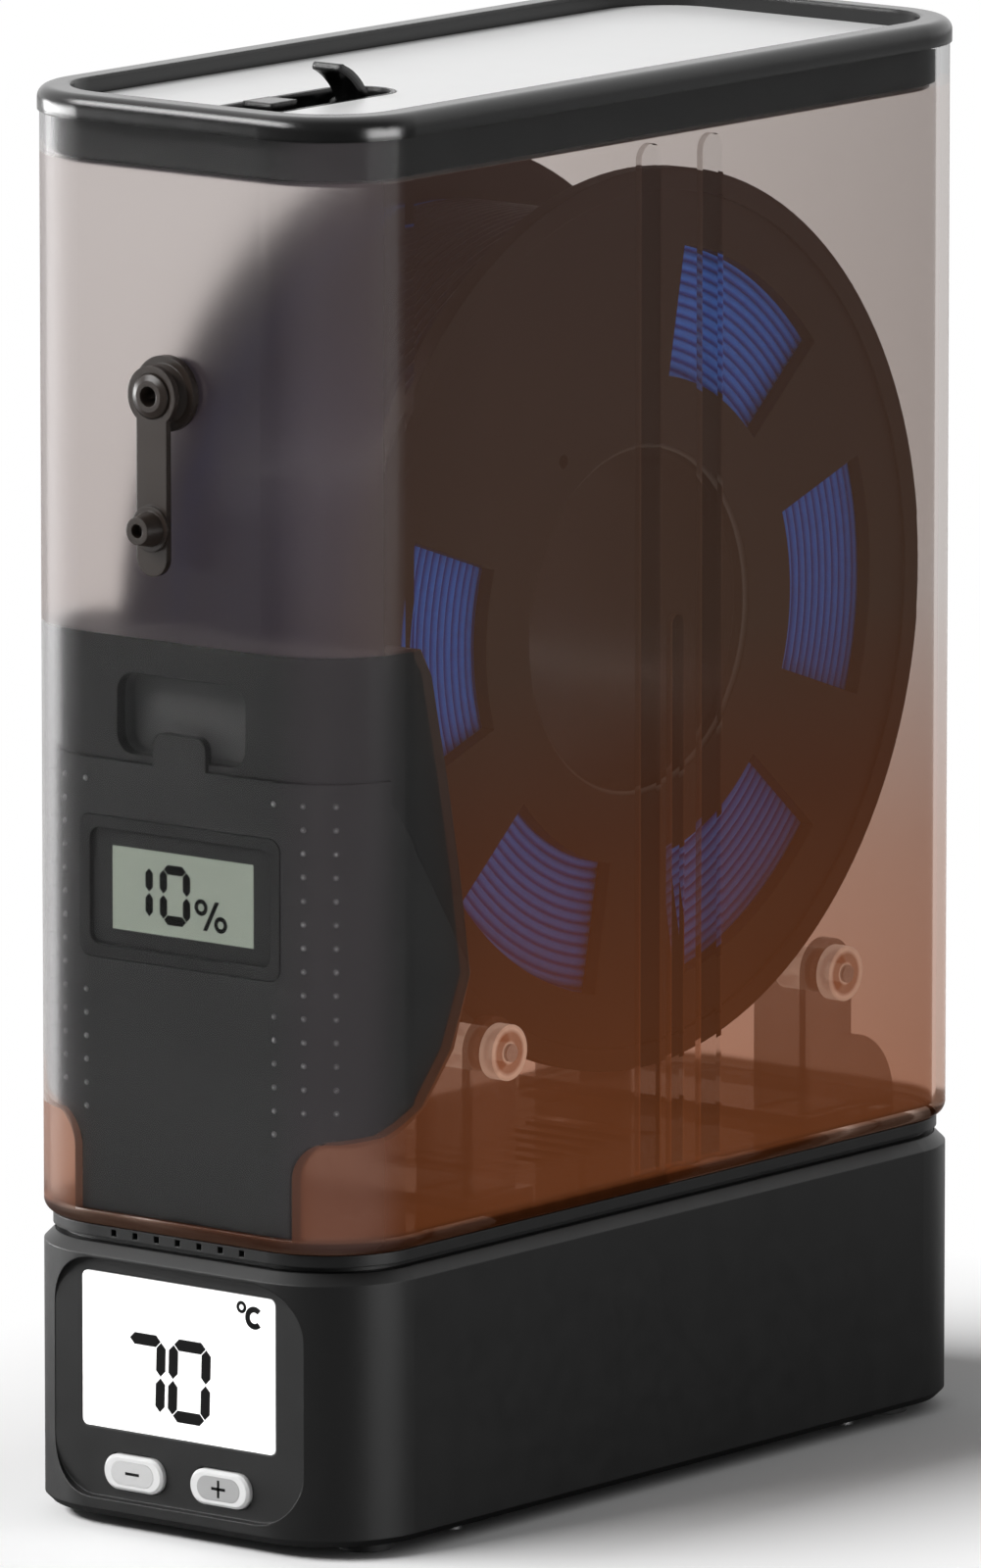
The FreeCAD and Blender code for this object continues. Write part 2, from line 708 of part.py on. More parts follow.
def container_tub():
    """Clear rounded tub with inner ribs, an outlet hole and a slotted floor."""
    outer = plan_prism(0, TUB_BOTTOM, TUB_TOP)
    outer = outer.makeFillet(TUB_EDGE_R, level_edges(outer, TUB_BOTTOM, PLAN_Y + CUT_MARGIN))
    tub = outer.cut(plan_prism(WALL, FLOOR_TOP, TUB_TOP))
    inner = SIDE - WALL
    for sign in (1, -1):
        for offset, width, top in (
                (-LONG_RIB_SPREAD / 2, LONG_RIB_W, LONG_RIB_TOP),
                (LONG_RIB_SPREAD / 2, LONG_RIB_W, LONG_RIB_TOP),
                (SHORT_RIB_OFFSET, SHORT_RIB_W, SHORT_RIB_TOP)):
            y = RIB_Y + offset
            near = sign * (inner + WALL / 2)
            far = sign * (inner - RIB_PROUD)
            low = min(near, far)
            high = max(near, far)
            rib = box(low, high, y - width / 2, y + width / 2, FLOOR_TOP - FLOOR_T / 2, top - width / 2)
            crown = rod_x(width / 2, low, high, y, top - width / 2)
            tub = tub.fuse([rib, crown])
    for y in grille_places():
        tub = tub.cut(grille_slot(y, TUB_BOTTOM, FLOOR_TOP))
    tub = tub.cut(rod_y(PORT_HOLE_R, FRONT, FRONT + WALL, 0, PORT_Z))
    return tub.removeSplitter()


def container_ring():
    """Dark skirt under the tub, with a row of small vents at the front."""
    inset_in = NECK_INSET - SEAT_GAP - RUN_GAP
    ring = plan_ring(RING_INSET, inset_in, TUB_BOTTOM - RING_H, TUB_BOTTOM)
    for index in range(RING_VENTS):
        x = (index - (RING_VENTS - 1) / 2) * RING_VENT_PITCH
        z = TUB_BOTTOM - RING_H / 2
        vent = box(x - RING_VENT / 2, x + RING_VENT / 2, FRONT, FRONT + inset_in + CUT_MARGIN,
                   z - RING_VENT / 2, z + RING_VENT / 2)
        ring = ring.cut(vent)
    return ring


def roller_post(x0, hole_r):
    """Upright with a round head and a bearing hole, at the origin of its axle."""
    low = FLOOR_TOP + CRADLE_T - ROLLER_Z
    foot = box(x0, x0 + POST_T, -POST_HALF, POST_HALF, low, 0)
    head = rod_x(POST_HALF, x0, x0 + POST_T, 0, 0)
    return joined([foot, head]).cut(rod_x(hole_r, x0, x0 + POST_T, 0, 0))


def roller_cradle(gusset):
    """Moulded strip with four posts that carry one axle; the rear one has quarter-round gussets."""
    reach = POST_OUT_X + POST_T + CRADLE_MARGIN
    low = FLOOR_TOP - ROLLER_Z
    pieces = [box(-reach, reach, -CRADLE_HALF, CRADLE_HALF, low, low + CRADLE_T)]
    for x0, hole_r in ((POST_IN_X, AXLE_R + SHAFT_FIT), (POST_OUT_X, JOURNAL_R + SHAFT_FIT)):
        post = roller_post(x0, hole_r)
        pieces += [post, mirror_x(post)]
    if gusset:
        start = POST_HALF - GUSSET_LAP
        rib = rod_x(GUSSET_R, POST_OUT_X, POST_OUT_X + POST_T, start, low + CRADLE_T)
        rib = rib.common(box(POST_OUT_X, POST_OUT_X + POST_T, start, start + GUSSET_R, low, GUSSET_R))
        foot = box(POST_OUT_X, POST_OUT_X + POST_T, start, start + GUSSET_R, low, low + CRADLE_T)
        pieces += [rib, mirror_x(rib), foot, mirror_x(foot)]
    return joined(pieces)


def roller():
    """Clear stepped roller on its own axis, for the +X side."""
    drum = rod_x(ROLLER_R, ROLLER_INNER, ROLLER_INNER + ROLLER_DRUM, 0, 0)
    journal = rod_x(JOURNAL_R, ROLLER_INNER, DISC_X, 0, 0)
    disc = rod_x(DISC_R, DISC_X, DISC_X + DISC_T, 0, 0)
    body = joined([drum, journal, disc])
    return body.cut(rod_x(AXLE_R + SHAFT_FIT, ROLLER_INNER, DISC_X + DISC_T, 0, 0))


def at_axle(shape, side):
    """Move a cradle piece to the front (-1) or rear (+1) axle."""
    placed = shape.copy()
    placed.translate(Vector(0, SPOOL_Y + side * ROLLER_HALF, ROLLER_Z))
    return placed


def wing_outline():
    """Side view of the desiccant box, as (Y, Z) points from the front top round to the front bottom."""
    height = BIN_TOP - WING_LOW
    points = [(FRONT + reach * WING_REACH, WING_LOW + rise * height) for reach, rise in WING_SHAPE]
    return [(FRONT, BIN_TOP)] + points + [(FRONT, WING_LOW)]


def cover_edge(gap):
    """Top edge, corner and slanting crease of the cover, moved outwards by a gap."""
    corner = FRONT + COVER_REACH + gap
    crease = FRONT + CREASE_REACH + gap
    return [(corner, COVER_TOP + gap), (corner, COVER_TOP - COVER_DROP), (crease, CREASE_Z)]


def cover_outline():
    """Side view of the cover: its top edge, its slanting crease and the lower edge of the box."""
    return [(FRONT, COVER_TOP)] + cover_edge(0) + wing_outline()[1 + WING_TURN:]


def tongue(inset, depth):
    """Middle tongue that reaches down to the floor, with hollow rounded shoulders above it."""
    half = TONGUE_X / 2
    low = FLOOR_TOP + SEAT_GAP
    wide = half + TONGUE_FLARE
    shape = box(-wide, wide, FRONT, 0, low, TONGUE_TOP)
    for sign in (1, -1):
        edge = sign * half
        x = sign * wide
        high = TONGUE_TOP - TONGUE_LIP
        shape = shape.cut(rod_y(TONGUE_FLARE, FRONT, 0, x, high - TONGUE_FLARE))
        shape = shape.cut(box(min(edge, x), max(edge, x), FRONT, 0, low, high - TONGUE_FLARE))
    return shape.common(plan_ring(inset, inset + depth, low, TONGUE_TOP))


def desiccant_box():
    """Dark box that follows the front wall and its corners, hollow for the pack and the hygrometer."""
    plan = plan_prism(BIN_INSET + COVER_STEP, FLOOR_TOP, BIN_TOP)
    body = side_prism(wing_outline(), -SIDE, SIDE).common(plan)
    body = body.cut(box(-WING_IN, WING_IN, BIN_REAR, 0, FLOOR_TOP, BIN_TOP))
    behind = BIN_INSET + COVER_T + SEAT_GAP
    skin = plan_ring(0, behind, FLOOR_TOP, COVER_TOP + SEAT_GAP)
    body = body.cut(skin.common(side_prism(grown_cover(), -SIDE, SIDE)))
    body = body.fuse(tongue(behind, TONGUE_T - COVER_T))
    grip = upright_plate(GRIP_X, GRIP_Z, GRIP_R, FRONT, BIN_FRONT + GRIP_DEEP, 0, GRIP_LOW)
    slot = box(-TAB_X / 2 - SEAT_GAP, TAB_X / 2 + SEAT_GAP, FRONT, BIN_FRONT + COVER_T + 2 * SEAT_GAP,
               COVER_TOP, GRIP_LOW + GRIP_R)
    body = body.cut(grip).cut(slot)
    room_low = TONGUE_TOP + BIN_WALL
    room = box(-PACK_X / 2 - PACK_ROOM, PACK_X / 2 + PACK_ROOM, FRONT, BIN_REAR - BIN_WALL,
               room_low, COVER_TOP - BIN_WALL)
    return body.cut(room).removeSplitter()


def grown_cover():
    """Cover outline with its clearance at the top edge and the crease, open below."""
    outside = FRONT - CUT_MARGIN
    beyond = FRONT + WING_REACH + CUT_MARGIN
    return ([(outside, COVER_TOP + SEAT_GAP)] + cover_edge(SEAT_GAP)
            + [(beyond, CREASE_Z), (beyond, FLOOR_TOP), (outside, FLOOR_TOP)])


def desiccant_cover():
    """Raised front cover with the hygrometer opening, a grip tab and the middle tongue."""
    skin = plan_ring(BIN_INSET, BIN_INSET + COVER_T, FLOOR_TOP, BIN_TOP)
    cover = skin.common(side_prism(cover_outline(), -SIDE, SIDE))
    tab_low = COVER_TOP - GRIP_R
    tab = upright_plate(TAB_X, TAB_TOP - tab_low, TAB_R, BIN_FRONT, BIN_FRONT + COVER_T, 0, tab_low)
    cover = joined([cover, tongue(BIN_INSET, COVER_T), tab])
    opening = upright_plate(HYGRO_X, HYGRO_Z, HYGRO_R, FRONT, BIN_FRONT + 2 * COVER_T, 0, HYGRO_LOW)
    return cover.cut(opening).removeSplitter()


def hygrometer_module():
    """Humidity meter with a raised frame, set in the cover."""
    gap = SEAT_GAP
    face = BIN_FRONT
    body = upright_plate(
        HYGRO_X - 2 * gap, HYGRO_Z - 2 * gap, HYGRO_R - gap, face, face + HYGRO_T, 0, HYGRO_LOW + gap)
    trim = HYGRO_FRAME + gap
    sink = upright_plate(
        HYGRO_X - 2 * trim, HYGRO_Z - 2 * trim, HYGRO_R - gap, face, face + HYGRO_SINK, 0, HYGRO_LOW + trim)
    seat = upright_plate(LENS_X, LENS_Z, gap, face, face + HYGRO_SINK + LENS_T, 0, LENS_LOW)
    cell = rod_y(CELL_R + gap, face + HYGRO_T - CELL_T - gap, face + HYGRO_T, 0, HYGRO_LOW + HYGRO_Z / 2)
    return body.cut(sink).cut(seat).cut(cell)


def hygrometer_lens():
    """Small display of the humidity meter."""
    gap = SEAT_GAP / 2
    face = BIN_FRONT + HYGRO_SINK
    half = LENS_X / 2 - gap
    return box(-half, half, face, face + LENS_T, LENS_LOW + gap, LENS_LOW + LENS_Z - gap)


def coin_cell():
    """Coin cell in the back of the humidity meter."""
    back = BIN_FRONT + HYGRO_T
    return rod_y(CELL_R, back - CELL_T, back, 0, HYGRO_LOW + HYGRO_Z / 2)


def desiccant_pack():
    """Bag of desiccant lying in the bottom of the box."""
    low = TONGUE_TOP + BIN_WALL
    inset = BIN_INSET + COVER_T + SEAT_GAP + PACK_ROOM
    bag = box(-PACK_X / 2, PACK_X / 2, FRONT, BIN_REAR - BIN_WALL - PACK_ROOM, low, low + PACK_Z)
    return bag.common(plan_prism(inset, low, low + PACK_Z))


def turned_y(profile, z):
    """Solid of revolution round an axis along Y, from (radius, Y) points."""
    corners = [Vector(0, y, z + radius) for radius, y in profile]
    face = Part.Face(Part.makePolygon(corners + corners[:1]))
    return face.revolve(Vector(0, 0, z), Vector(0, 1, 0), 360)


def outlet_grommet():
    """Soft grommet through the front wall, with a grooved nose and a bore that flares inwards."""
    face = FRONT - PORT_FLANGE_T
    inner = FRONT + WALL
    lip = STRAP_ROOT - NECK_L
    tip = lip - NOSE_LIP_L
    profile = [
        (PORT_FLARE_R, inner + PORT_BACK_T), (PORT_BACK_R, inner + PORT_BACK_T), (PORT_BACK_R, inner),
        (PORT_HOLE_R - SHAFT_FIT, inner), (PORT_HOLE_R - SHAFT_FIT, FRONT), (PORT_FLANGE_R, FRONT),
        (PORT_FLANGE_R, face), (NOSE_ROOT_R, face), (NOSE_TIP_R, STRAP_ROOT), (NECK_R, STRAP_ROOT),
        (NECK_R, lip), (NOSE_LIP_R, lip), (NECK_R, tip), (PORT_BORE_R, tip),
        (PORT_BORE_R, FRONT - PORT_FLARE_OUT)]
    return turned_y(profile, PORT_Z)


def port_plug():
    """Strap with an eye round the nose and a small stopper near its free end."""
    front = STRAP_ROOT - STRAP_FIT - STRAP_T
    back = STRAP_ROOT - STRAP_FIT
    half = STRAP_W / 2
    strap = box(-half, half, front, back, STRAP_END + half, PORT_Z)
    end = rod_y(half, front, back, 0, STRAP_END + half)
    ring = rod_y(STRAP_EYE_R, front, back, 0, PORT_Z)
    collar = rod_y(PLUG_R + PLUG_COLLAR_W, front - PLUG_COLLAR_T, front, 0, PLUG_Z)
    stopper = Part.makeCone(PLUG_R, PLUG_TIP_R, PLUG_L, Vector(0, front, PLUG_Z), Vector(0, -1, 0))
    dimple = rod_y(PLUG_DIMPLE_R, front - PLUG_L, front - PLUG_L + PLUG_DIMPLE, 0, PLUG_Z)
    body = joined([strap, end, ring, collar, stopper])
    return body.cut(dimple).cut(rod_y(NECK_R + STRAP_FIT, front, back, 0, PORT_Z))


def lid_frame():
    """Rounded rim that covers the tub's edge, with a ledge for the panel and a skirt inside the tub."""
    rim = plan_ring(-LID_OVER, LID_RIM_W, LID_BOTTOM, LID_TOP)
    longest = PLAN_Y + 2 * LID_OVER + CUT_MARGIN
    edges = [edge for edge in level_edges(rim, LID_TOP, longest) if outer_edge(edge)]
    rim = rim.makeFillet(LID_EDGE_R, edges)
    ledge_top = LID_TOP - LID_PANEL_SINK - LID_PANEL_T
    outside = LID_RIM_W - LID_SKIRT_T / 2
    ledge = plan_ring(outside, LID_RIM_W + LID_LEDGE_W, ledge_top - LID_LEDGE_T, ledge_top)
    skirt = plan_ring(LID_SKIRT_INSET, LID_RIM_W, LID_BOTTOM - LID_SKIRT_H, LID_TOP - LID_EDGE_R)
    return joined([rim, ledge, skirt])


def outer_edge(edge):
    """True for an edge on the lid's outer outline."""
    middle = edge.valueAt((edge.FirstParameter + edge.LastParameter) / 2)
    line = rounded_wire(SIDE + LID_OVER, BACK + LID_OVER, CORNER_R + LID_OVER)
    line.translate(Vector(0, 0, middle.z))
    return line.distToShape(Part.Vertex(middle))[0] < LID_OVER


def lid_gasket():
    """Soft seal round the skirt, just clear of the tub's inner wall."""
    return plan_ring(WALL + RUN_GAP, LID_SKIRT_INSET, GASKET_LOW, GASKET_LOW + GASKET_H)


def cup_prism(grow, z0, z1):
    """Long round-ended slot in the lid, grown outwards by a margin."""
    half_x = CUP_X / 2 + grow
    half_y = (CUP_BACK - CUP_FRONT) / 2 + grow
    wire = rounded_wire(half_x, half_y, half_x - ROUND_TRIM)
    wire.translate(Vector(0, (CUP_BACK + CUP_FRONT) / 2, z0))
    return Part.Face(wire).extrude(Vector(0, 0, z1 - z0))


def lid_panel():
    """Flat panel set in the rim, open over the lever cup."""
    high = LID_TOP - LID_PANEL_SINK
    panel = plan_prism(LID_RIM_W + SEAT_GAP, high - LID_PANEL_T, high)
    return panel.cut(cup_prism(CUP_WALL + SEAT_GAP, high - LID_PANEL_T, high))


def cup_floor():
    """Height of the cup's floor."""
    return LID_TOP - CUP_DEEP


def lever_cup():
    """Tray under the slot, with a flange below the panel."""
    high = LID_TOP - LID_PANEL_SINK
    under = high - LID_PANEL_T
    tray = cup_prism(CUP_WALL, cup_floor() - CUP_WALL, high)
    flange = cup_prism(CUP_WALL + CUP_FLANGE, under - CUP_FLANGE, under)
    return joined([tray, flange]).cut(cup_prism(0, cup_floor(), high))


def pin_height():
    """Height of the lever's pin."""
    return cup_floor() + LEVER_EYE_R + RUN_GAP


def lever_bracket():
    """Block in the cup with two cheeks that hold the pin."""
    low = cup_floor()
    block = box(-BRACKET_W / 2, BRACKET_W / 2, BRACKET_FRONT, BRACKET_BACK, low, low + BRACKET_H)
    cheek_in = LEVER_W / 2 + LEVER_SIDE_GAP
    pieces = [block]
    arm = LEVER_Y + CHEEK_HALF
    for sign in (1, -1):
        near = sign * cheek_in
        far = sign * (cheek_in + CHEEK_T)
        x0 = min(near, far)
        x1 = max(near, far)
        cheek = box(x0, x1, BRACKET_BACK - CHEEK_T, arm, low, pin_height())
        head = rod_x(CHEEK_HALF, x0, x1, LEVER_Y, pin_height())
        pieces += [cheek, head.common(box(x0, x1, BRACKET_FRONT, CUP_BACK, low, LID_TOP))]
    wide = cheek_in + CHEEK_T
    bridge = box(-wide, wide, BRACKET_BACK - CHEEK_T, BRACKET_BACK, low, pin_height())
    bracket = joined(pieces + [bridge])
    return bracket.cut(rod_x(LEVER_PIN_R, -SIDE, SIDE, LEVER_Y, pin_height()))


def lever_pin():
    """Steel pin through both cheeks and the lever's eye."""
    half = LEVER_W / 2 + LEVER_SIDE_GAP + CHEEK_T
    return rod_x(LEVER_PIN_R, -half, half, LEVER_Y, pin_height())


def lid_lever():
    """Curved finger lever, leaning forward out of the cup."""
    half = LEVER_W / 2
    eye = rod_x(LEVER_EYE_R, -half, half, 0, 0)
    root = LEVER_T / 2
    tip = LEVER_TIP_T / 2
    middle = (root + tip) / 2
    points = [(-root, 0), (LEVER_BOW - middle, LEVER_UP / 2), (-tip, LEVER_UP), (0, LEVER_UP + tip),
              (tip, LEVER_UP), (LEVER_BOW + middle, LEVER_UP / 2), (root, 0)]
    corners = [Vector(-half, y, z) for y, z in points]
    lines = [Part.Arc(*corners[0:3]), Part.Arc(*corners[2:5]), Part.Arc(*corners[4:7])]
    edges = [line.toShape() for line in lines]
    edges.append(Part.makeLine(corners[6], corners[0]))
    blade = Part.Face(Part.Wire(edges)).extrude(Vector(LEVER_W, 0, 0))
    blade.rotate(Vector(0, 0, 0), Vector(1, 0, 0), LEVER_LEAN)
    lever = joined([eye, blade]).cut(rod_x(LEVER_PIN_R + SHAFT_FIT, -half, half, 0, 0))
    lever.translate(Vector(0, LEVER_Y, pin_height()))
    return lever


def spool_sector(r0, r1, middle, half, x0, x1):
    """Ring sector round the spool's axis, cut through along X."""
    def place(radius, degrees):
        angle = math.radians(degrees)
        return Vector(x0, radius * math.cos(angle), radius * math.sin(angle))
    outer = Part.Arc(place(r1, middle - half), place(r1, middle), place(r1, middle + half)).toShape()
    inner = Part.Arc(place(r0, middle + half), place(r0, middle), place(r0, middle - half)).toShape()
    down = Part.makeLine(place(r1, middle + half), place(r0, middle + half))
    up = Part.makeLine(place(r0, middle - half), place(r1, middle - half))
    return Part.Face(Part.Wire([outer, down, inner, up])).extrude(Vector(x1 - x0, 0, 0))


def spool_flange():
    """Disc with five windows, a raised rim, the hub's bore and a hole for the filament's end."""
    disc = rod_x(SPOOL_R, FLANGE_IN, FLANGE_OUT, 0, 0)
    rim = rod_x(SPOOL_R, FLANGE_OUT, FLANGE_OUT + FLANGE_RIM_PROUD, 0, 0)
    rim = rim.cut(rod_x(SPOOL_R - FLANGE_RIM_W, FLANGE_OUT, FLANGE_OUT + FLANGE_RIM_PROUD, 0, 0))
    flange = joined([disc, rim]).cut(rod_x(SPOOL_BORE_R, FLANGE_IN, FLANGE_OUT, 0, 0))
    wide = SPOOL_BORE_R + BORE_BEVEL
    start = Vector(FLANGE_OUT - BORE_BEVEL, 0, 0)
    flange = flange.cut(Part.makeCone(SPOOL_BORE_R, wide, BORE_BEVEL, start, Vector(1, 0, 0)))
    for index in range(WINDOW_COUNT):
        middle = WINDOW_FIRST - WINDOW_STEP * index
        window = spool_sector(WINDOW_IN_R, WINDOW_OUT_R, middle, WINDOW_HALF, FLANGE_IN, FLANGE_OUT)
        flange = flange.cut(window)
    angle = math.radians(END_HOLE_ANGLE)
    y = END_HOLE_OUT * math.cos(angle)
    z = END_HOLE_OUT * math.sin(angle)
    return flange.cut(rod_x(END_HOLE_R, FLANGE_IN, FLANGE_OUT, y, z))


def spool_hub():
    """Tube between the flanges."""
    tube = rod_x(SPOOL_BORE_R + HUB_T, -FLANGE_IN, FLANGE_IN, 0, 0)
    return tube.cut(rod_x(SPOOL_BORE_R, -FLANGE_IN, FLANGE_IN, 0, 0))


def filament_core():
    """Inner layers of filament as one plain wound body."""
    half = FLANGE_IN - RUN_GAP
    core = rod_x(FILAMENT_R, -half, half, 0, 0)
    return core.cut(rod_x(SPOOL_BORE_R + HUB_T, -half, half, 0, 0))


def turn_point(degrees):
    """Point on the centre line of the outer layer's helix."""
    radius = FILAMENT_R + TURN_GAP + FILAMENT_DIA / 2
    angle = math.radians(degrees)
    x = (degrees / 360 - TURNS / 2) * TURN_PITCH
    return Vector(x, radius * math.cos(angle), radius * math.sin(angle))


def filament_outer_turns():
    """Outer layer of filament: one helix of quarter-turn arcs, with straight ends."""
    edges = []
    for index in range(round(TURNS * 360 / TURN_ARC)):
        start = index * TURN_ARC
        points = [turn_point(start + share * TURN_ARC) for share in (0, 0.5, 1)]
        edges.append(Part.Arc(*points).toShape())
    ahead = edges[0].tangentAt(edges[0].FirstParameter)
    onward = edges[-1].tangentAt(edges[-1].LastParameter)
    first = turn_point(0) - ahead * FILAMENT_DIA
    last = turn_point(TURNS * 360)
    edges.insert(0, Part.makeLine(first, turn_point(0)))
    edges.append(Part.makeLine(last, last + onward * FILAMENT_DIA))
    path = Part.Wire(edges)
    across = Vector(1, 0, 0).cross(ahead).normalize()
    along = ahead.cross(across).normalize()
    reach = FILAMENT_DIA / 2
    corners = [first + across * reach, first + along * reach, first - across * reach, first - along * reach]
    ring = Part.makePolygon(corners + corners[:1])
    least = turn_point(0).sub(turn_point(360)).Length - FILAMENT_DIA
    print("least gap between filament turns, mm:", round(least, 3))
    return path.makePipeShell([ring], True, False)


def at_spool(shape):
    """Move a spool piece from its own axis to its place on the rollers."""
    placed = shape.copy()
    placed.translate(Vector(0, SPOOL_Y, SPOOL_Z))
    return placed


def build():
    """Make and write every piece."""
    os.makedirs("parts", exist_ok=True)
    rear_cradle = roller_cradle(True)
    front_cradle = roller_cradle(False)
    axle = rod_x(AXLE_R, -AXLE_END, AXLE_END, 0, 0)
    wheel = roller()
    flange = spool_flange()
    minus_x, plus_x = button_places()
    pieces = {
        "base_shell": base_shell(),
        "bottom_plate": bottom_plate(),
        "rubber_feet": rubber_feet(),
        "bottom_screws": bottom_screws(),
        "top_deck": top_deck(),
        "display_window": display_window(),
        "display_module": display_module(),
        "control_board": control_board(),
        "button_switches": button_switches(),
        "minus_button": push_button(minus_x),
        "plus_button": push_button(plus_x),
        "fan_frame": fan_frame(),
        "fan_rotor": fan_rotor(),
        "air_duct": air_duct(),
        "heater_element": heater_element(),
        "dc_inlet": dc_inlet(),
        "temperature_sensor": temperature_sensor(),
        "container_tub": container_tub(),
        "container_ring": container_ring(),
        "front_roller_cradle": at_axle(front_cradle, -1),
        "rear_roller_cradle": at_axle(rear_cradle, 1),
        "front_axle": at_axle(axle, -1),
        "rear_axle": at_axle(axle, 1),
        "front_right_roller": at_axle(wheel, -1),
        "rear_right_roller": at_axle(wheel, 1),
        "front_left_roller": at_axle(mirror_x(wheel), -1),
        "rear_left_roller": at_axle(mirror_x(wheel), 1),
        "desiccant_box": desiccant_box(),
        "desiccant_cover": desiccant_cover(),
        "desiccant_pack": desiccant_pack(),
        "hygrometer_module": hygrometer_module(),
        "hygrometer_lens": hygrometer_lens(),
        "coin_cell": coin_cell(),
        "outlet_grommet": outlet_grommet(),
        "outlet_plug": port_plug(),
        "lid_frame": lid_frame(),
        "lid_gasket": lid_gasket(),
        "lid_panel": lid_panel(),
        "lever_cup": lever_cup(),
        "lever_bracket": lever_bracket(),
        "lever_pin": lever_pin(),
        "lid_lever": lid_lever(),
        "spool_right_flange": at_spool(flange),
        "spool_left_flange": at_spool(mirror_x(flange)),
        "spool_hub": at_spool(spool_hub()),
        "filament_core": at_spool(filament_core()),
        "filament_outer_turns": at_spool(filament_outer_turns()),
    }
    for name, shape in pieces.items():
        save(shape, name)


build()
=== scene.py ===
import math

import bmesh
import bpy
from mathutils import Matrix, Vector


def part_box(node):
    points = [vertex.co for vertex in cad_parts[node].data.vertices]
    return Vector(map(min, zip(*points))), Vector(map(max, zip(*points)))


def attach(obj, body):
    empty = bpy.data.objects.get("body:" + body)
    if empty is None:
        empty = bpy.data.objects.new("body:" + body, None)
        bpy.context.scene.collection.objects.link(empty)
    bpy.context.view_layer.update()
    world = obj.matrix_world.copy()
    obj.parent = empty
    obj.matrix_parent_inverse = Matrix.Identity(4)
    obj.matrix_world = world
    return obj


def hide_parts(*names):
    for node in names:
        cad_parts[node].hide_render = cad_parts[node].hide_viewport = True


# Filament dryer box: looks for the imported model, in metres, in the model's own frame.

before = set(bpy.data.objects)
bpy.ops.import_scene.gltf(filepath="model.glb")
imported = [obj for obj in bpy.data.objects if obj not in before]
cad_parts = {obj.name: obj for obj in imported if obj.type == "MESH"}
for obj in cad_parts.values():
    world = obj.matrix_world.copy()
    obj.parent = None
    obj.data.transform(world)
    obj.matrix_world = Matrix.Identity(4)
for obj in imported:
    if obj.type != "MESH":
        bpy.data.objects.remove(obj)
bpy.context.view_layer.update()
MM = 0.001

# Photograph and camera
IMAGE_H = 1600
SENSOR = 36.0
FOCAL_PX = 18304.8
AZIMUTH = 38.68
ELEVATION = 10.01
DISTANCE = 3.96207
AIM_Z = 155.0 * MM
AIM_RIGHT = -2.28 * MM
AIM_UP = -3.29 * MM
CLIP_END = 50.0

# Main lines of the model that the added pieces sit on
SHIFT_Y = 5.24 * MM
SPOOL_AXIS_Y = 8.5 * MM + SHIFT_Y
SPOOL_AXIS_Z = 190.7 * MM
PLAN_SIDE = 48.75 * MM
PLAN_FRONT = -114.25 * MM + SHIFT_Y
CORNER_R = 23.5 * MM
BIN_INSET = 3.4 * MM
SKIN = 0.06 * MM


def linear(*values):
    """Screen colour from 0 to 255 as the linear colour that a shader takes."""
    shades = []
    for value in values:
        share = value / 255
        shades.append(share / 12.92 if share <= 0.04045 else ((share + 0.055) / 1.055) ** 2.4)
    if len(shades) == 1:
        shades = shades * 3
    return (*shades, 1.0)


def shaded(colour, factor):
    """Colour made lighter or darker."""
    return (*[min(1.0, channel * factor) for channel in colour[:3]], 1.0)


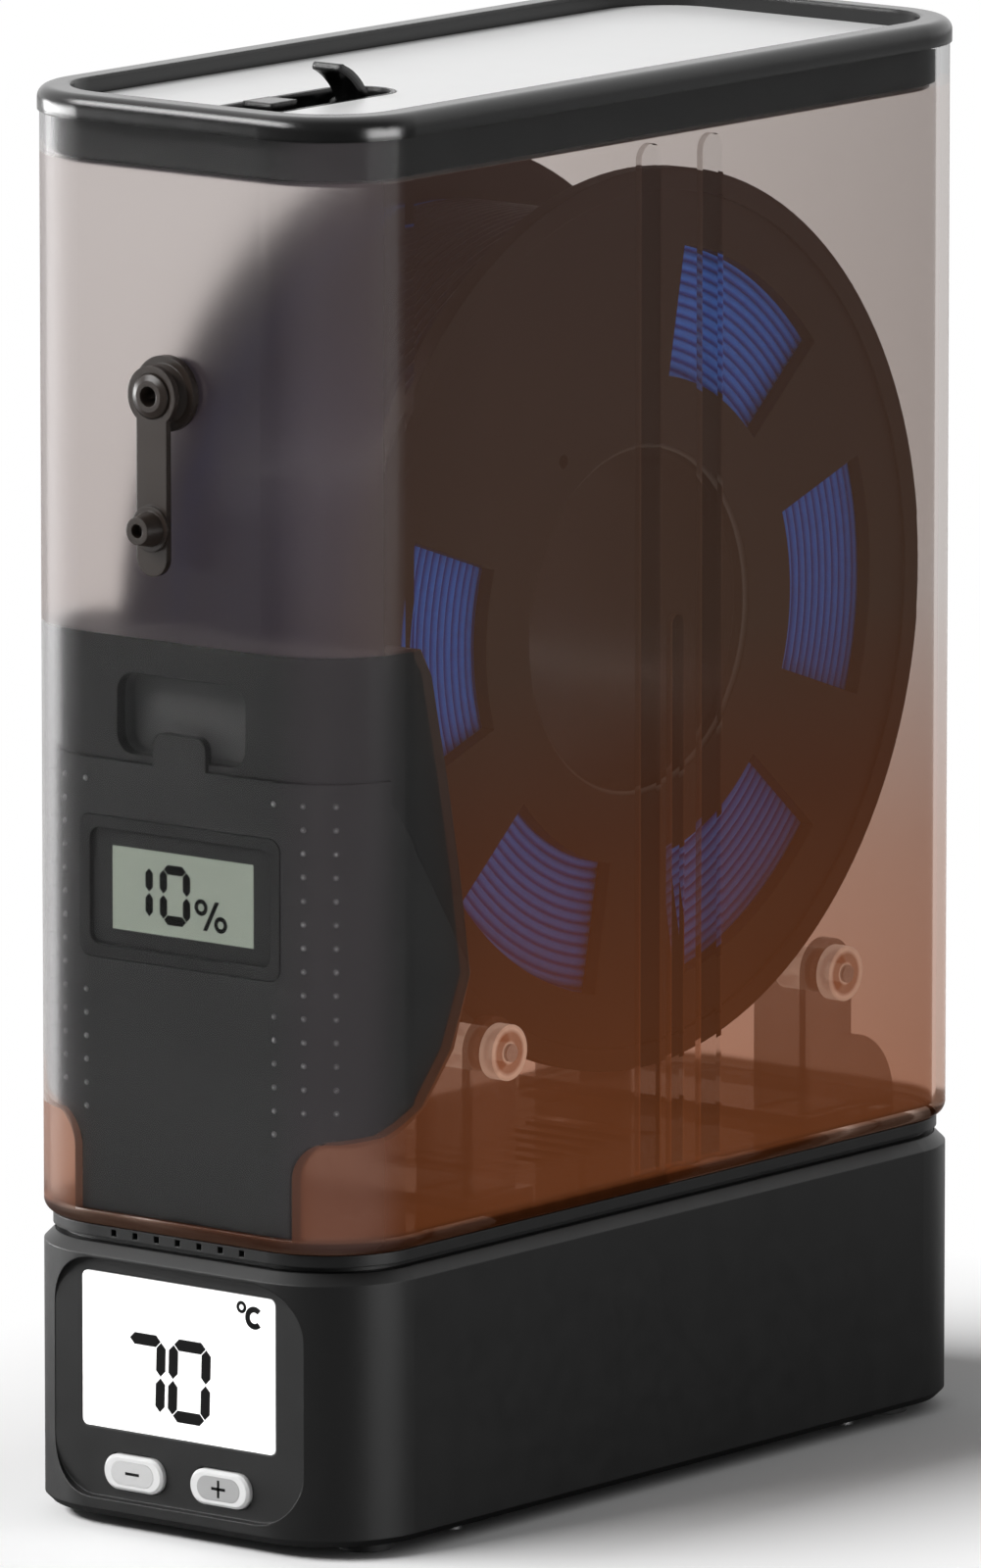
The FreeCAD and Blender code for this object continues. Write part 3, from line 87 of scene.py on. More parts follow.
class Nodes:
    """Node tree of one new material, with its main shader and its coordinates."""

    def __init__(self, name):
        self.material = bpy.data.materials.new(name)
        self.material.use_nodes = True
        self.tree = self.material.node_tree
        self.shader = self.tree.nodes["Principled BSDF"]
        self.place = self.tree.nodes.new("ShaderNodeTexCoord").outputs["Object"]

    def add(self, kind, **settings):
        node = self.tree.nodes.new(kind)
        for key, value in settings.items():
            setattr(node, key, value)
        return node

    def link(self, source, target):
        self.tree.links.new(source, target)

    def set(self, **values):
        for key, value in values.items():
            self.shader.inputs[key.replace("_", " ")].default_value = value

    def noise(self, scale, detail=2.0, stretch=None):
        """Noise at a scale in cycles for each metre, stretched along an axis if asked."""
        noise = self.add("ShaderNodeTexNoise")
        noise.inputs["Scale"].default_value = scale
        noise.inputs["Detail"].default_value = detail
        source = self.place
        if stretch:
            mapping = self.add("ShaderNodeMapping")
            mapping.inputs["Scale"].default_value = stretch
            self.link(source, mapping.inputs["Vector"])
            source = mapping.outputs["Vector"]
        self.link(source, noise.inputs["Vector"])
        return noise.outputs["Fac"]

    def spread(self, source, low, high):
        """Map a 0 to 1 value onto a range."""
        node = self.add("ShaderNodeMapRange")
        node.inputs["To Min"].default_value = low
        node.inputs["To Max"].default_value = high
        self.link(source, node.inputs["Value"])
        return node.outputs["Result"]

    def ramp(self, source, stops):
        """Colour ramp with (position, colour) stops."""
        node = self.add("ShaderNodeValToRGB")
        elements = node.color_ramp.elements
        elements[0].position, elements[0].color = stops[0]
        elements[1].position, elements[1].color = stops[-1]
        for position, colour in stops[1:-1]:
            elements.new(position).color = colour
        self.link(source, node.inputs["Fac"])
        return node.outputs["Color"]

    def math(self, operation, first, second):
        """Arithmetic on two values, each a number or an output."""
        node = self.add("ShaderNodeMath", operation=operation)
        for socket, value in zip(node.inputs, (first, second)):
            if isinstance(value, (int, float)):
                socket.default_value = value
            else:
                self.link(value, socket)
        return node.outputs["Value"]

    def mix(self, share, first, second):
        """Colour between two, each a colour or an output, by a 0 to 1 share."""
        node = self.add("ShaderNodeMix", data_type="RGBA")
        self.link(share, node.inputs["Factor"])
        for socket, value in zip((node.inputs[6], node.inputs[7]), (first, second)):
            if isinstance(value, tuple):
                socket.default_value = value
            else:
                self.link(value, socket)
        return node.outputs[2]

    def scaled(self, colour, share):
        """Colour times a value."""
        node = self.add("ShaderNodeVectorMath", operation="SCALE")
        self.link(colour, node.inputs[0])
        self.link(share, node.inputs["Scale"])
        return node.outputs[0]

    def sum(self, first, second):
        """Sum of two colours."""
        node = self.add("ShaderNodeVectorMath", operation="ADD")
        self.link(first, node.inputs[0])
        self.link(second, node.inputs[1])
        return node.outputs[0]

    def between(self, source, start, end, low, high):
        """Map a value from one range onto another and hold it at the ends."""
        node = self.add("ShaderNodeMapRange")
        for name, value in (("From Min", start), ("From Max", end), ("To Min", low), ("To Max", high)):
            node.inputs[name].default_value = value
        self.link(source, node.inputs["Value"])
        return node.outputs["Result"]

    def axes(self, source):
        """X, Y and Z of a vector."""
        node = self.add("ShaderNodeSeparateXYZ")
        self.link(source, node.inputs["Vector"])
        return node.outputs

    def gloss(self, rough):
        """Roughness that varies slowly about a value."""
        self.link(self.spread(self.noise(GLOSS_SCALE), rough * GLOSS_LOW, rough * GLOSS_HIGH),
                  self.shader.inputs["Roughness"])

    def radius(self, across, up):
        """Distance from an axis along X, from the two offsets."""
        square = self.math("ADD", self.math("MULTIPLY", across, across), self.math("MULTIPLY", up, up))
        return self.math("SQRT", square, 0.0)

    def size(self, source):
        """Value without its sign."""
        return self.math("ABSOLUTE", source, 0.0)

    def bump(self, source, depth, edge):
        """Surface relief, over softly rounded edges."""
        rounded = self.add("ShaderNodeBevel", samples=4)
        rounded.inputs["Radius"].default_value = edge
        node = self.add("ShaderNodeBump")
        node.inputs["Strength"].default_value = 1.0
        node.inputs["Distance"].default_value = depth
        self.link(source, node.inputs["Height"])
        self.link(rounded.outputs["Normal"], node.inputs["Normal"])
        self.link(node.outputs["Normal"], self.shader.inputs["Normal"])


# Moulded finishes: cycles for each metre of the slow patches and of the gloss, and how far the gloss varies
PATCH_SCALE = 35.0
GLOSS_SCALE = 180.0
GLOSS_LOW = 0.88
GLOSS_HIGH = 1.12
GRAIN_SCALE = 1400.0
GRAIN_DETAIL = 3.0
GRAIN_DEPTH = 0.02 * MM
PATCH_SHARE = 0.08
EDGE_R = 0.4 * MM


def plastic(name, colour, rough, grain=GRAIN_SCALE, depth=GRAIN_DEPTH, patch=PATCH_SHARE, edge=EDGE_R,
            painted_highlight=None, **values):
    """Moulded plastic: fine grain in the relief, slow patches in colour and gloss, and any painted highlight
    given, as emission.
    """
    made = Nodes(name)
    slow = made.noise(PATCH_SCALE)
    fine = made.noise(grain, GRAIN_DETAIL)
    stops = [(0.3, shaded(colour, 1 - patch)), (0.7, shaded(colour, 1 + patch))]
    made.link(made.ramp(slow, stops), made.shader.inputs["Base Color"])
    made.gloss(rough)
    made.bump(fine, depth, edge)
    # Any painted highlight is added as emission
    if painted_highlight:
        made.link(painted_highlight(made), made.shader.inputs["Emission Color"])
        made.set(Emission_Strength=1.0)
    made.set(**values)
    return made.material


BRUSH_SCALE = 900.0
BRUSH_DETAIL = 4.0
BRUSH_DEPTH = 0.008 * MM
BRUSH_EDGE = 0.2 * MM


def brushed(name, colour, rough, stretch):
    """Metal with fine lines along one direction."""
    made = Nodes(name)
    lines = made.noise(BRUSH_SCALE, BRUSH_DETAIL, stretch)
    made.link(made.ramp(lines, [(0.2, shaded(colour, 0.8)), (0.8, shaded(colour, 1.1))]),
              made.shader.inputs["Base Color"])
    made.link(made.spread(lines, rough * 0.8, rough * 1.3), made.shader.inputs["Roughness"])
    made.bump(lines, BRUSH_DEPTH, BRUSH_EDGE)
    made.set(Metallic=1.0)
    return made.material


# Wound filament: satin ridges round the outside and concentric layers on both sides
WIND_TOP_R = 87.9 * MM
WIND_IN_R = 41.2 * MM
WIND_HALF = 28.0 * MM
WIND_PITCH = 2.4 * MM
LAYER_PITCH = 2.42 * MM
RIDGE = 0.85 * MM
WIND_STEPS = 120
RIDGE_STEPS = 6

# Clear wall: grey at the top and brown towards the floor, with a faint painted glow, as emission, that stands
# in for its lit haze
WALL_LOW = 67.2 * MM
WALL_HIGH = 309.7 * MM
WALL_TINTS = [(0.0, (0.03, 0.02, 0.015, 1)), (0.0116, (0.03, 0.02, 0.015, 1)),
              (0.0124, (0.30, 0.22, 0.18, 1)), (0.0165, (0.54, 0.42, 0.36, 1)),
              (0.25, (0.58, 0.48, 0.43, 1)), (0.5, (0.65, 0.62, 0.605, 1)), (1.0, (0.69, 0.665, 0.65, 1))]
WALL_PAINTED_GLOW = [(0.0, (0.010, 0.003, 0.001, 1)), (0.0124, (0.010, 0.003, 0.001, 1)),
             (0.0165, (0.054, 0.0167, 0.0058, 1)), (0.14, (0.047, 0.0145, 0.0053, 1)),
             (0.34, (0.030, 0.0106, 0.0050, 1)), (0.5, (0.022, 0.0117, 0.0075, 1)),
             (1.0, (0.016, 0.0095, 0.0078, 1))]
# The wall lets less light through towards its rear and at its ribs; it carries more painted glow in front and
# a painted highlight at the corners
REAR_LOW = 0.75
REAR_HIGH = 0.76
REAR_RISE = (0.1, 0.5)
FRONT_LOW = 0.84
FRONT_RISE = (0.1, 0.3)
RIB_SHARE = 0.93
RIB_IN_X = 45.4 * MM
RIB_REACH = 60.0 * MM
FLOOR_TOP = 70.2 * MM
ABOVE_RIB_FOOT = FLOOR_TOP + 1.0 * MM
ABOVE_FLOOR = FLOOR_TOP + 0.3 * MM
BLACK = (0, 0, 0, 1)
FRONT_PAINTED_GLOW = (0.0145, 0.0115, 0.0140, 1)
GLOW_RISE = (0.35, 0.5)
# On the flat sides most of the painted glow lies on the outer face, so that the ribs behind it stay faint
GLOW_SHIFT = 0.4
WALL_MID_X = PLAN_SIDE - 1.5 * MM
FLAT_FROM = 0.5
FLAT_RUN = (66.0 * MM, 90.0 * MM)
# Neutral patch of the wall in front of the dark box, darker where it bends round the corners
PATCH_TINT = (0.61, 0.61, 0.61, 1)
PATCH_BENT = (0.48, 0.48, 0.48, 1)
PATCH_BEND = (0.1, 0.4)
PATCH_FROST = 0.5
# Painted highlight on the wall's rounded front corners, as emission, and the bend over which it rises
CORNER_PAINTED_HIGHLIGHT = (0.016, 0.014, 0.015, 1)
CORNER_BEND = (0.1, 0.45)
CLEAR_TOP = 301.0 * MM
# Grip recess of the dark box
GRIP_HALF = 18.2 * MM
GRIP_LOW = 171.5 * MM
GRIP_HIGH = 190.2 * MM
GRIP_BACK = PLAN_FRONT + 7.0 * MM
GRIP_DEPTH = 6.0 * MM
# Outline of the dark box on the wall in front of it: reach behind the front face, height, both in millimetres
BIN_OUTLINE = [(-10.0, 198.4), (25.5, 198.4), (29.4, 192.4), (35.1, 168.0), (39.5, 145.9), (42.7, 125.2),
               (36.0, 109.7), (25.9, 98.3), (15.2, 93.2), (6.5, 92.0), (-10.0, 92.0)]
# Tongue below the box, which widens at its upper end
TONGUE_X = 2.7 * MM
TONGUE_HALF = 30.0 * MM
TONGUE_FLARE = 9.0 * MM
TONGUE_KNEE = 83.9 * MM
# Roughness in front and on the sides, and how far a face looks to the front where frost begins and is full
FROST_FRONT = 0.45
FROST_SIDE = 0.05
FROST_FROM = 0.05
FROST_FULL = 0.6
# The rounded front bends light more than the flat sides with their ribs
FRONT_IOR = 1.12
SIDE_IOR = 1.04


def bin_mask(made, x, y, z):
    """1 where the dark box with its tongue lies against the wall."""
    inside = 1.0
    points = [(PLAN_FRONT + a * MM, b * MM) for a, b in BIN_OUTLINE]
    for (y0, z0), (y1, z1) in zip(points, points[1:] + points[:1]):
        run = (z0 - z1, y1 - y0)
        side = made.math("ADD", made.math("MULTIPLY", y, run[0]), made.math("MULTIPLY", z, run[1]))
        inside = made.math("MULTIPLY", inside, made.math("LESS_THAN", side, y0 * run[0] + z0 * run[1]))
    near = made.math("LESS_THAN", y, PLAN_FRONT + CORNER_R)
    low = made.math("LESS_THAN", z, points[-1][1])
    across = made.size(made.math("SUBTRACT", x, TONGUE_X))
    stem = made.math("LESS_THAN", across, TONGUE_HALF)
    reach = made.math("SUBTRACT", across, TONGUE_HALF + TONGUE_FLARE)
    rise = made.math("SUBTRACT", z, TONGUE_KNEE)
    away = made.math("ADD", made.math("MULTIPLY", reach, reach), made.math("MULTIPLY", rise, rise))
    flare = made.math("GREATER_THAN", away, TONGUE_FLARE ** 2)
    flare = made.math("MULTIPLY", flare, made.math("GREATER_THAN", rise, 0.0))
    flare = made.math("MULTIPLY", flare, made.math("LESS_THAN", reach, 0.0))
    tongue = made.math("MULTIPLY", made.math("MULTIPLY", near, low), made.math("MAXIMUM", stem, flare))
    return made.math("MAXIMUM", inside, tongue)


def clear_wall(name, ior):
    """Smoke-tinted wall, frosted in front, and clear where the dark box or the seal lies against it; its haze
    is a painted glow and its front corners carry a painted highlight, both as emission.
    """
    made = Nodes(name)
    x, y, z = made.axes(made.place)
    height = made.between(z, WALL_LOW, WALL_HIGH, 0.0, 1.0)
    tint = made.ramp(height, WALL_TINTS)
    # Painted glow: the wall's haze drawn as emission, not lit by the lamps
    painted_glow = made.ramp(height, WALL_PAINTED_GLOW)
    rear = made.between(y, SHIFT_Y, SHIFT_Y - PLAN_FRONT, 0.0, 1.0)
    rear = made.math("MULTIPLY", rear, made.between(height, *REAR_RISE, 1 - REAR_LOW, 1 - REAR_HIGH))
    ahead = made.math("LESS_THAN", y, PLAN_FRONT + CORNER_R)
    low = made.math("MULTIPLY", ahead, made.between(height, *FRONT_RISE, 1 - FRONT_LOW, 0.0))
    share = made.math("SUBTRACT", made.math("SUBTRACT", 1.0, rear), low)
    rib = made.math("LESS_THAN", made.size(x), RIB_IN_X)
    rib = made.math("MULTIPLY", rib, made.math("LESS_THAN", made.size(y), RIB_REACH))
    rib = made.math("MULTIPLY", rib, made.math("GREATER_THAN", z, ABOVE_RIB_FOOT))
    tint = made.scaled(tint, made.math("MULTIPLY", share, made.spread(rib, 1.0, RIB_SHARE)))
    patch = made.math("MAXIMUM", bin_mask(made, x, y, z), made.math("GREATER_THAN", z, CLEAR_TOP))
    patch = made.math("MULTIPLY", patch, made.math("GREATER_THAN", z, ABOVE_FLOOR))
    facing = made.axes(made.add("ShaderNodeTexCoord").outputs["Normal"])
    bend = made.size(made.math("MULTIPLY", facing[0], facing[1]))
    shade = made.mix(made.between(bend, *PATCH_BEND, 0.0, 1.0), PATCH_TINT, PATCH_BENT)
    made.link(made.mix(patch, tint, shade), made.shader.inputs["Base Color"])
    # Painted highlight along the rounded front corners, as emission
    turn = made.math("MULTIPLY", made.between(bend, *CORNER_BEND, 0.0, 1.0), ahead)
    painted_corner_highlight = made.mix(turn, BLACK, CORNER_PAINTED_HIGHLIGHT)
    front = made.math("MULTIPLY", ahead, made.size(facing[1]))
    upper = made.math("MULTIPLY", front, made.between(height, *GLOW_RISE, 0.0, 1.0))
    painted_glow = made.mix(upper, painted_glow, FRONT_PAINTED_GLOW)
    outer = made.math("GREATER_THAN", made.size(x), WALL_MID_X)
    outer = made.spread(outer, -GLOW_SHIFT, GLOW_SHIFT)
    along = made.size(made.math("SUBTRACT", y, SHIFT_Y))
    flat = made.math("GREATER_THAN", made.size(facing[0]), FLAT_FROM)
    flat = made.math("MULTIPLY", flat, made.between(along, *FLAT_RUN, 1.0, 0.0))
    painted_glow = made.scaled(painted_glow, made.math("ADD", 1.0, made.math("MULTIPLY", outer, flat)))
    painted_glow = made.mix(made.math("MAXIMUM", patch, rib), painted_glow, BLACK)
    made.link(made.sum(painted_glow, painted_corner_highlight), made.shader.inputs["Emission Color"])
    frost = made.between(made.size(facing[1]), FROST_FROM, FROST_FULL, 0.0, 1.0)
    frost = made.math("MULTIPLY", made.math("MULTIPLY", ahead, frost), made.spread(patch, 1.0, PATCH_FROST))
    made.link(made.spread(frost, FROST_SIDE, FROST_FRONT), made.shader.inputs["Roughness"])
    made.set(Transmission_Weight=1.0, IOR=ior, Emission_Strength=1.0)
    return made.material


# Edge of the spool's bore, with a painted highlight that stands in for the light it catches
BORE_R = 38.0 * MM
BORE_EDGE = 0.9 * MM
BORE_PAINTED_HIGHLIGHT = (0.045, 0.040, 0.036, 1)


def painted_bore_highlight(made):
    """Thin pale ring round the bore of a flange: a painted highlight, given as emission."""
    _, y, z = made.axes(made.place)
    reach = made.math("SUBTRACT", y, SPOOL_AXIS_Y)
    rise = made.math("SUBTRACT", z, SPOOL_AXIS_Z)
    away = made.radius(reach, rise)
    edge = made.between(away, BORE_R, BORE_R + BORE_EDGE, 1.0, 0.0)
    edge = made.math("MULTIPLY", edge, made.math("GREATER_THAN", away, BORE_R + SKIN))
    return made.mix(edge, BLACK, BORE_PAINTED_HIGHLIGHT)


def recessed(name, colour, recess, rough):
    """Moulded plastic whose grip recess is lighter."""
    made = Nodes(name)
    x, y, z = made.axes(made.place)
    inside = made.math("LESS_THAN", made.size(x), GRIP_HALF)
    for operation, value, limit in (("GREATER_THAN", y, GRIP_BACK), ("GREATER_THAN", z, GRIP_LOW),
                                    ("LESS_THAN", z, GRIP_HIGH)):
        inside = made.math("MULTIPLY", inside, made.math(operation, value, limit))
    inside = made.math("MULTIPLY", inside, made.math("LESS_THAN", y, GRIP_BACK + GRIP_DEPTH))
    patches = made.spread(made.noise(PATCH_SCALE), 0.92, 1.08)
    tone = made.scaled(made.mix(inside, colour, recess), patches)
    made.link(tone, made.shader.inputs["Base Color"])
    made.gloss(rough)
    made.bump(made.noise(GRAIN_SCALE, GRAIN_DETAIL), 0.01 * MM, EDGE_R)
    made.set(Specular_IOR_Level=0.1)
    return made.material


CLEAR_IOR = 1.5


def clear_part(name, colour, cover):
    """Clear moulded piece behind the wall."""
    made = Nodes(name)
    tone = made.ramp(made.noise(60.0), [(0.3, shaded(colour, 0.92)), (0.7, shaded(colour, 1.06))])
    made.link(tone, made.shader.inputs["Base Color"])
    made.link(made.spread(made.noise(120.0), 0.08, 0.16), made.shader.inputs["Roughness"])
    made.set(Alpha=cover, IOR=CLEAR_IOR)
    return made.material


# Painted highlight rings on the rollers: share of the radius, and how bright, from dim at 0 to the painted
# highlight at 1
ROLLER_HIGHLIGHT_RINGS = [(0.2, 0), (0.34, 1), (0.44, 0), (0.7, 0), (0.86, 1)]
ROLLER_RIM = 0.8
ROLLER_PAINTED_HIGHLIGHT = linear(255, 246, 236)
ROLLER_DIM = linear(150, 104, 80)
ROLLER_COVER = 0.75
ROLLER_PAINTED_GLOW = 0.3


def roller_glass(name, node):
    """Clear roller with painted highlight rings at its rounded rim and bore, which also glow as emission."""
    low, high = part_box(node)
    middle = (low + high) / 2
    made = Nodes(name)
    _, y, z = made.axes(made.place)
    away = made.radius(made.math("SUBTRACT", y, middle.y), made.math("SUBTRACT", z, middle.z))
    share = made.math("DIVIDE", away, (high.z - low.z) / 2)
    stops = [(place, (ROLLER_DIM, ROLLER_PAINTED_HIGHLIGHT)[bright]) for place, bright in ROLLER_HIGHLIGHT_RINGS]
    stops.append((1.0, shaded(ROLLER_PAINTED_HIGHLIGHT, ROLLER_RIM)))
    tone = made.scaled(made.ramp(share, stops), made.spread(made.noise(300.0), 0.8, 1.2))
    made.link(tone, made.shader.inputs["Base Color"])
    # The painted highlight rings also glow as emission
    made.link(tone, made.shader.inputs["Emission Color"])
    made.set(Alpha=ROLLER_COVER, IOR=CLEAR_IOR, Roughness=0.08, Emission_Strength=ROLLER_PAINTED_GLOW)
    return made.material


def lit_screen(name, colour, glow):
    """Display face with a little glow of its own and a faint cell pattern; on the hygrometer screen the glow
    is painted light.
    """
    made = Nodes(name)
    cells = made.noise(2500.0, 0.0)
    tone = made.ramp(cells, [(0.3, shaded(colour, 0.985)), (0.7, shaded(colour, 1.015))])
    made.link(tone, made.shader.inputs["Base Color"])
    made.link(tone, made.shader.inputs["Emission Color"])
    made.set(Roughness=0.25, Emission_Strength=glow)
    return made.material


def filament(name, crest, groove_shade, outside):
    """Drawn plastic strand: satin, wound in layers that show on the sides, with painted shade in the grooves
    between layers and painted shade round the outside.
    """
    made = Nodes(name)
    x, y, z = made.axes(made.place)
    rise = made.math("SUBTRACT", z, SPOOL_AXIS_Z)
    reach = made.math("SUBTRACT", y, SPOOL_AXIS_Y)
    layer = made.math("SUBTRACT", made.radius(reach, rise), WIND_IN_R)
    wave = made.math("SINE", made.math("MULTIPLY", layer, math.pi / LAYER_PITCH), 0.0)
    sides = made.ramp(made.size(wave), [(0.25, groove_shade), (0.8, crest)])
    flank = made.math("GREATER_THAN", made.size(x), WIND_HALF - 1.5 * RIDGE)
    tone = made.mix(flank, outside, sides)
    streaks = made.spread(made.noise(420.0, 3.0), 0.85, 1.15)
    made.link(made.scaled(tone, streaks), made.shader.inputs["Base Color"])
    made.link(made.spread(made.noise(200.0), 0.36, 0.46), made.shader.inputs["Roughness"])
    made.set(Specular_IOR_Level=0.2)
    return made.material


def paper(name, colour):
    """Fibrous bag paper with a point-bonded relief."""
    made = Nodes(name)
    fibres = made.noise(700.0, 6.0)
    made.link(made.ramp(fibres, [(0.25, shaded(colour, 0.86)), (0.75, shaded(colour, 1.05))]),
              made.shader.inputs["Base Color"])
    made.set(Roughness=0.85)
    made.bump(fibres, 0.00012, 0.0002)
    return made.material


base_black = plastic("base_black", linear(24), 0.4, depth=0.000012, Specular_IOR_Level=0.4)
lid_black = plastic("lid_black", linear(13), 0.2, grain=300.0, depth=0.000004, edge=0.0016,
                    Specular_IOR_Level=0.6)
lid_white = plastic("lid_white", linear(236), 0.3, grain=300.0, depth=0.000004, patch=0.01)
cover_grey = plastic("cover_grey", linear(76), 0.42, depth=0.00001, Specular_IOR_Level=0.15)
# The studs are painted lighter than the cover: a painted highlight where they catch the light
dot_painted_highlight = plastic("dot_painted_highlight", linear(150), 0.42, depth=0.00001, Specular_IOR_Level=0.15)
bin_grey = recessed("bin_grey", linear(72), linear(112), 0.42)
meter_grey = plastic("meter_grey", linear(68), 0.4, Specular_IOR_Level=0.15)
rubber = plastic("rubber_black", linear(22), 0.7, grain=2200.0, depth=0.00004)
silicone = plastic("silicone_dark", linear(42, 35, 31), 0.32, depth=0.00001, Specular_IOR_Level=0.25)
gasket_soft = plastic("gasket_soft", linear(80), 0.45, depth=0.000008, Specular_IOR_Level=0.15)
dark_plastic = plastic("dark_plastic", linear(50), 0.5)
# The flanges carry a painted highlight round the bore
spool_black = plastic("spool_black", linear(26, 24, 23), 0.5, depth=0.000006, painted_highlight=painted_bore_highlight,
                      Specular_IOR_Level=0.1)
# A lighter copy of the spool's black: painted light on the inside of the bore
hub_painted_light = plastic("hub_painted_light", linear(34, 31, 30), 0.5, depth=0.000006, Specular_IOR_Level=0.12)
button_grey = plastic("button_grey", linear(208), 0.3, patch=0.02, Coat_Weight=0.2)
# The dished ovals of the buttons are painted shade, lighter on the minus button than on the plus button
dish_shade_minus = plastic("dish_shade_minus", linear(186), 0.35, patch=0.02)
dish_shade_plus = plastic("dish_shade_plus", linear(156), 0.35, patch=0.02)
board_green = plastic("board_green", linear(28, 84, 44), 0.35)
ink = plastic("ink_black", linear(8), 0.5, Specular_IOR_Level=0.1)
steel = brushed("steel", linear(190), 0.3, (0.05, 1.0, 1.0))
screw_steel = brushed("screw_steel", linear(120), 0.35, (1.0, 1.0, 0.05))
aluminium = brushed("aluminium", linear(205), 0.35, (1.0, 0.05, 1.0))
wall_clear = clear_wall("smoke_clear", SIDE_IOR)
wall_front = clear_wall("smoke_clear_front", FRONT_IOR)
front_glass = roller_glass("front_roller_clear", "front_right_roller")
rear_glass = roller_glass("rear_roller_clear", "rear_right_roller")
cradle_clear = clear_part("cradle_clear", linear(84, 50, 34), 0.5)
screen_white = lit_screen("display_white", linear(255), 0.25)
# The glow on the hygrometer screen is painted light that brightens it
screen_grey = lit_screen("display_grey", linear(158, 166, 153), 0.5)
# The groove and outside tones of the strand are painted shade
filament_blue = filament("filament_blue", linear(34, 128, 240), linear(24, 78, 176), linear(14, 18, 34))
bag_paper = paper("bag_white", linear(232, 230, 222))

FINISHES = {
    base_black: ["base_shell", "bottom_plate", "top_deck", "container_ring"],
    lid_black: ["lid_frame", "lever_cup", "lever_bracket", "lid_lever"],
    lid_white: ["lid_panel"],
    cover_grey: ["desiccant_cover"],
    bin_grey: ["desiccant_box"],
    meter_grey: ["hygrometer_module"],
    rubber: ["rubber_feet"],
    silicone: ["outlet_grommet", "outlet_plug"],
    gasket_soft: ["lid_gasket"],
    dark_plastic: ["display_module", "button_switches", "fan_frame", "fan_rotor", "air_duct", "dc_inlet"],
    spool_black: ["spool_right_flange", "spool_left_flange"],
    hub_painted_light: ["spool_hub"],
    button_grey: ["minus_button", "plus_button"],
    board_green: ["control_board"],
    steel: ["front_axle", "rear_axle", "lever_pin", "coin_cell", "temperature_sensor"],
    screw_steel: ["bottom_screws"],
    aluminium: ["heater_element"],
    wall_clear: ["container_tub"],
    front_glass: ["front_right_roller", "front_left_roller"],
    rear_glass: ["rear_right_roller", "rear_left_roller"],
    cradle_clear: ["front_roller_cradle", "rear_roller_cradle"],
    screen_white: ["display_window"],
    screen_grey: ["hygrometer_lens"],
    filament_blue: ["filament_core", "filament_outer_turns"],
    bag_paper: ["desiccant_pack"],
}
SMOOTH_ANGLE = math.radians(32)


def dress_nodes():
    """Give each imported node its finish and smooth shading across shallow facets."""
    for finish, names in FINISHES.items():
        for name in names:
            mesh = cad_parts[name].data
            mesh.materials.clear()
            mesh.materials.append(finish)
            mesh.polygons.foreach_set("use_smooth", [True] * len(mesh.polygons))
            mesh.set_sharp_from_angle(angle=SMOOTH_ANGLE)
    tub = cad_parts["container_tub"]
    tub.data.materials.append(wall_front)
    for face in tub.data.polygons:
        ahead = (tub.matrix_world @ face.center).y < PLAN_FRONT + CORNER_R
        face.material_index = int(ahead)


def piece(name, mesh_maker, finish, body, smooth=True):
    """New mesh object from a bmesh, riding on a body."""
    mesh = bpy.data.meshes.new(name)
    mesh_maker.to_mesh(mesh)
    mesh_maker.free()
    mesh.materials.append(finish)
    if smooth:
        mesh.polygons.foreach_set("use_smooth", [True] * len(mesh.polygons))
        mesh.set_sharp_from_angle(angle=SMOOTH_ANGLE)
    made = bpy.data.objects.new(name, mesh)
    bpy.context.scene.collection.objects.link(made)
    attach(made, body)
    return made


def plate(build, points, depth, face_y):
    """Thin plate in the XZ plane whose outer face looks to -Y."""
    front = [build.verts.new((x, face_y, z)) for x, z in points]
    back = [build.verts.new((x, face_y + depth, z)) for x, z in points]
    count = len(points)
    faces = [front, list(reversed(back))]
    faces += [[front[i], back[i], back[(i + 1) % count], front[(i + 1) % count]] for i in range(count)]
    for face in faces:
        build.faces.new(face)


# Seven-segment digits: each segment is a bar with pointed ends, with a gap in shares of its thickness
SEGMENTS = {"0": "abcdef", "1": "bc", "7": "abc"}
SEGMENT_GAP = 0.07


def bar(x0, z0, x1, z1, thick, gap):
    """Six-cornered segment between two corners of a digit."""
    along = Vector((x1 - x0, z1 - z0))
    length = along.length
    along.normalize()
    across = Vector((-along.y, along.x)) * thick / 2
    start = Vector((x0, z0)) + along * gap
    end = Vector((x0, z0)) + along * (length - gap)
    inner = along * thick / 2
    return [start, start + inner + across, end - inner + across,
            end, end - inner - across, start + inner - across]


def digit(build, figure, left, low, width, height, thick, slant, face_y):
    """One figure; width and height are those of its outline."""
    half = thick / 2
    gap = thick * SEGMENT_GAP
    x0, x1 = left + half, left + width - half
    z0, z2 = low + half, low + height - half
    z1 = (z0 + z2) / 2
    ends = {"a": (x0, z2, x1, z2), "b": (x1, z2, x1, z1), "c": (x1, z1, x1, z0), "d": (x0, z0, x1, z0),
            "e": (x0, z1, x0, z0), "f": (x0, z2, x0, z1)}
    for name in SEGMENTS[figure]:
        corners = bar(*ends[name], thick, gap)
        corners = [(point.x + (point.y - low) * slant, point.y) for point in corners]
        plate(build, corners, SKIN / 2, face_y)


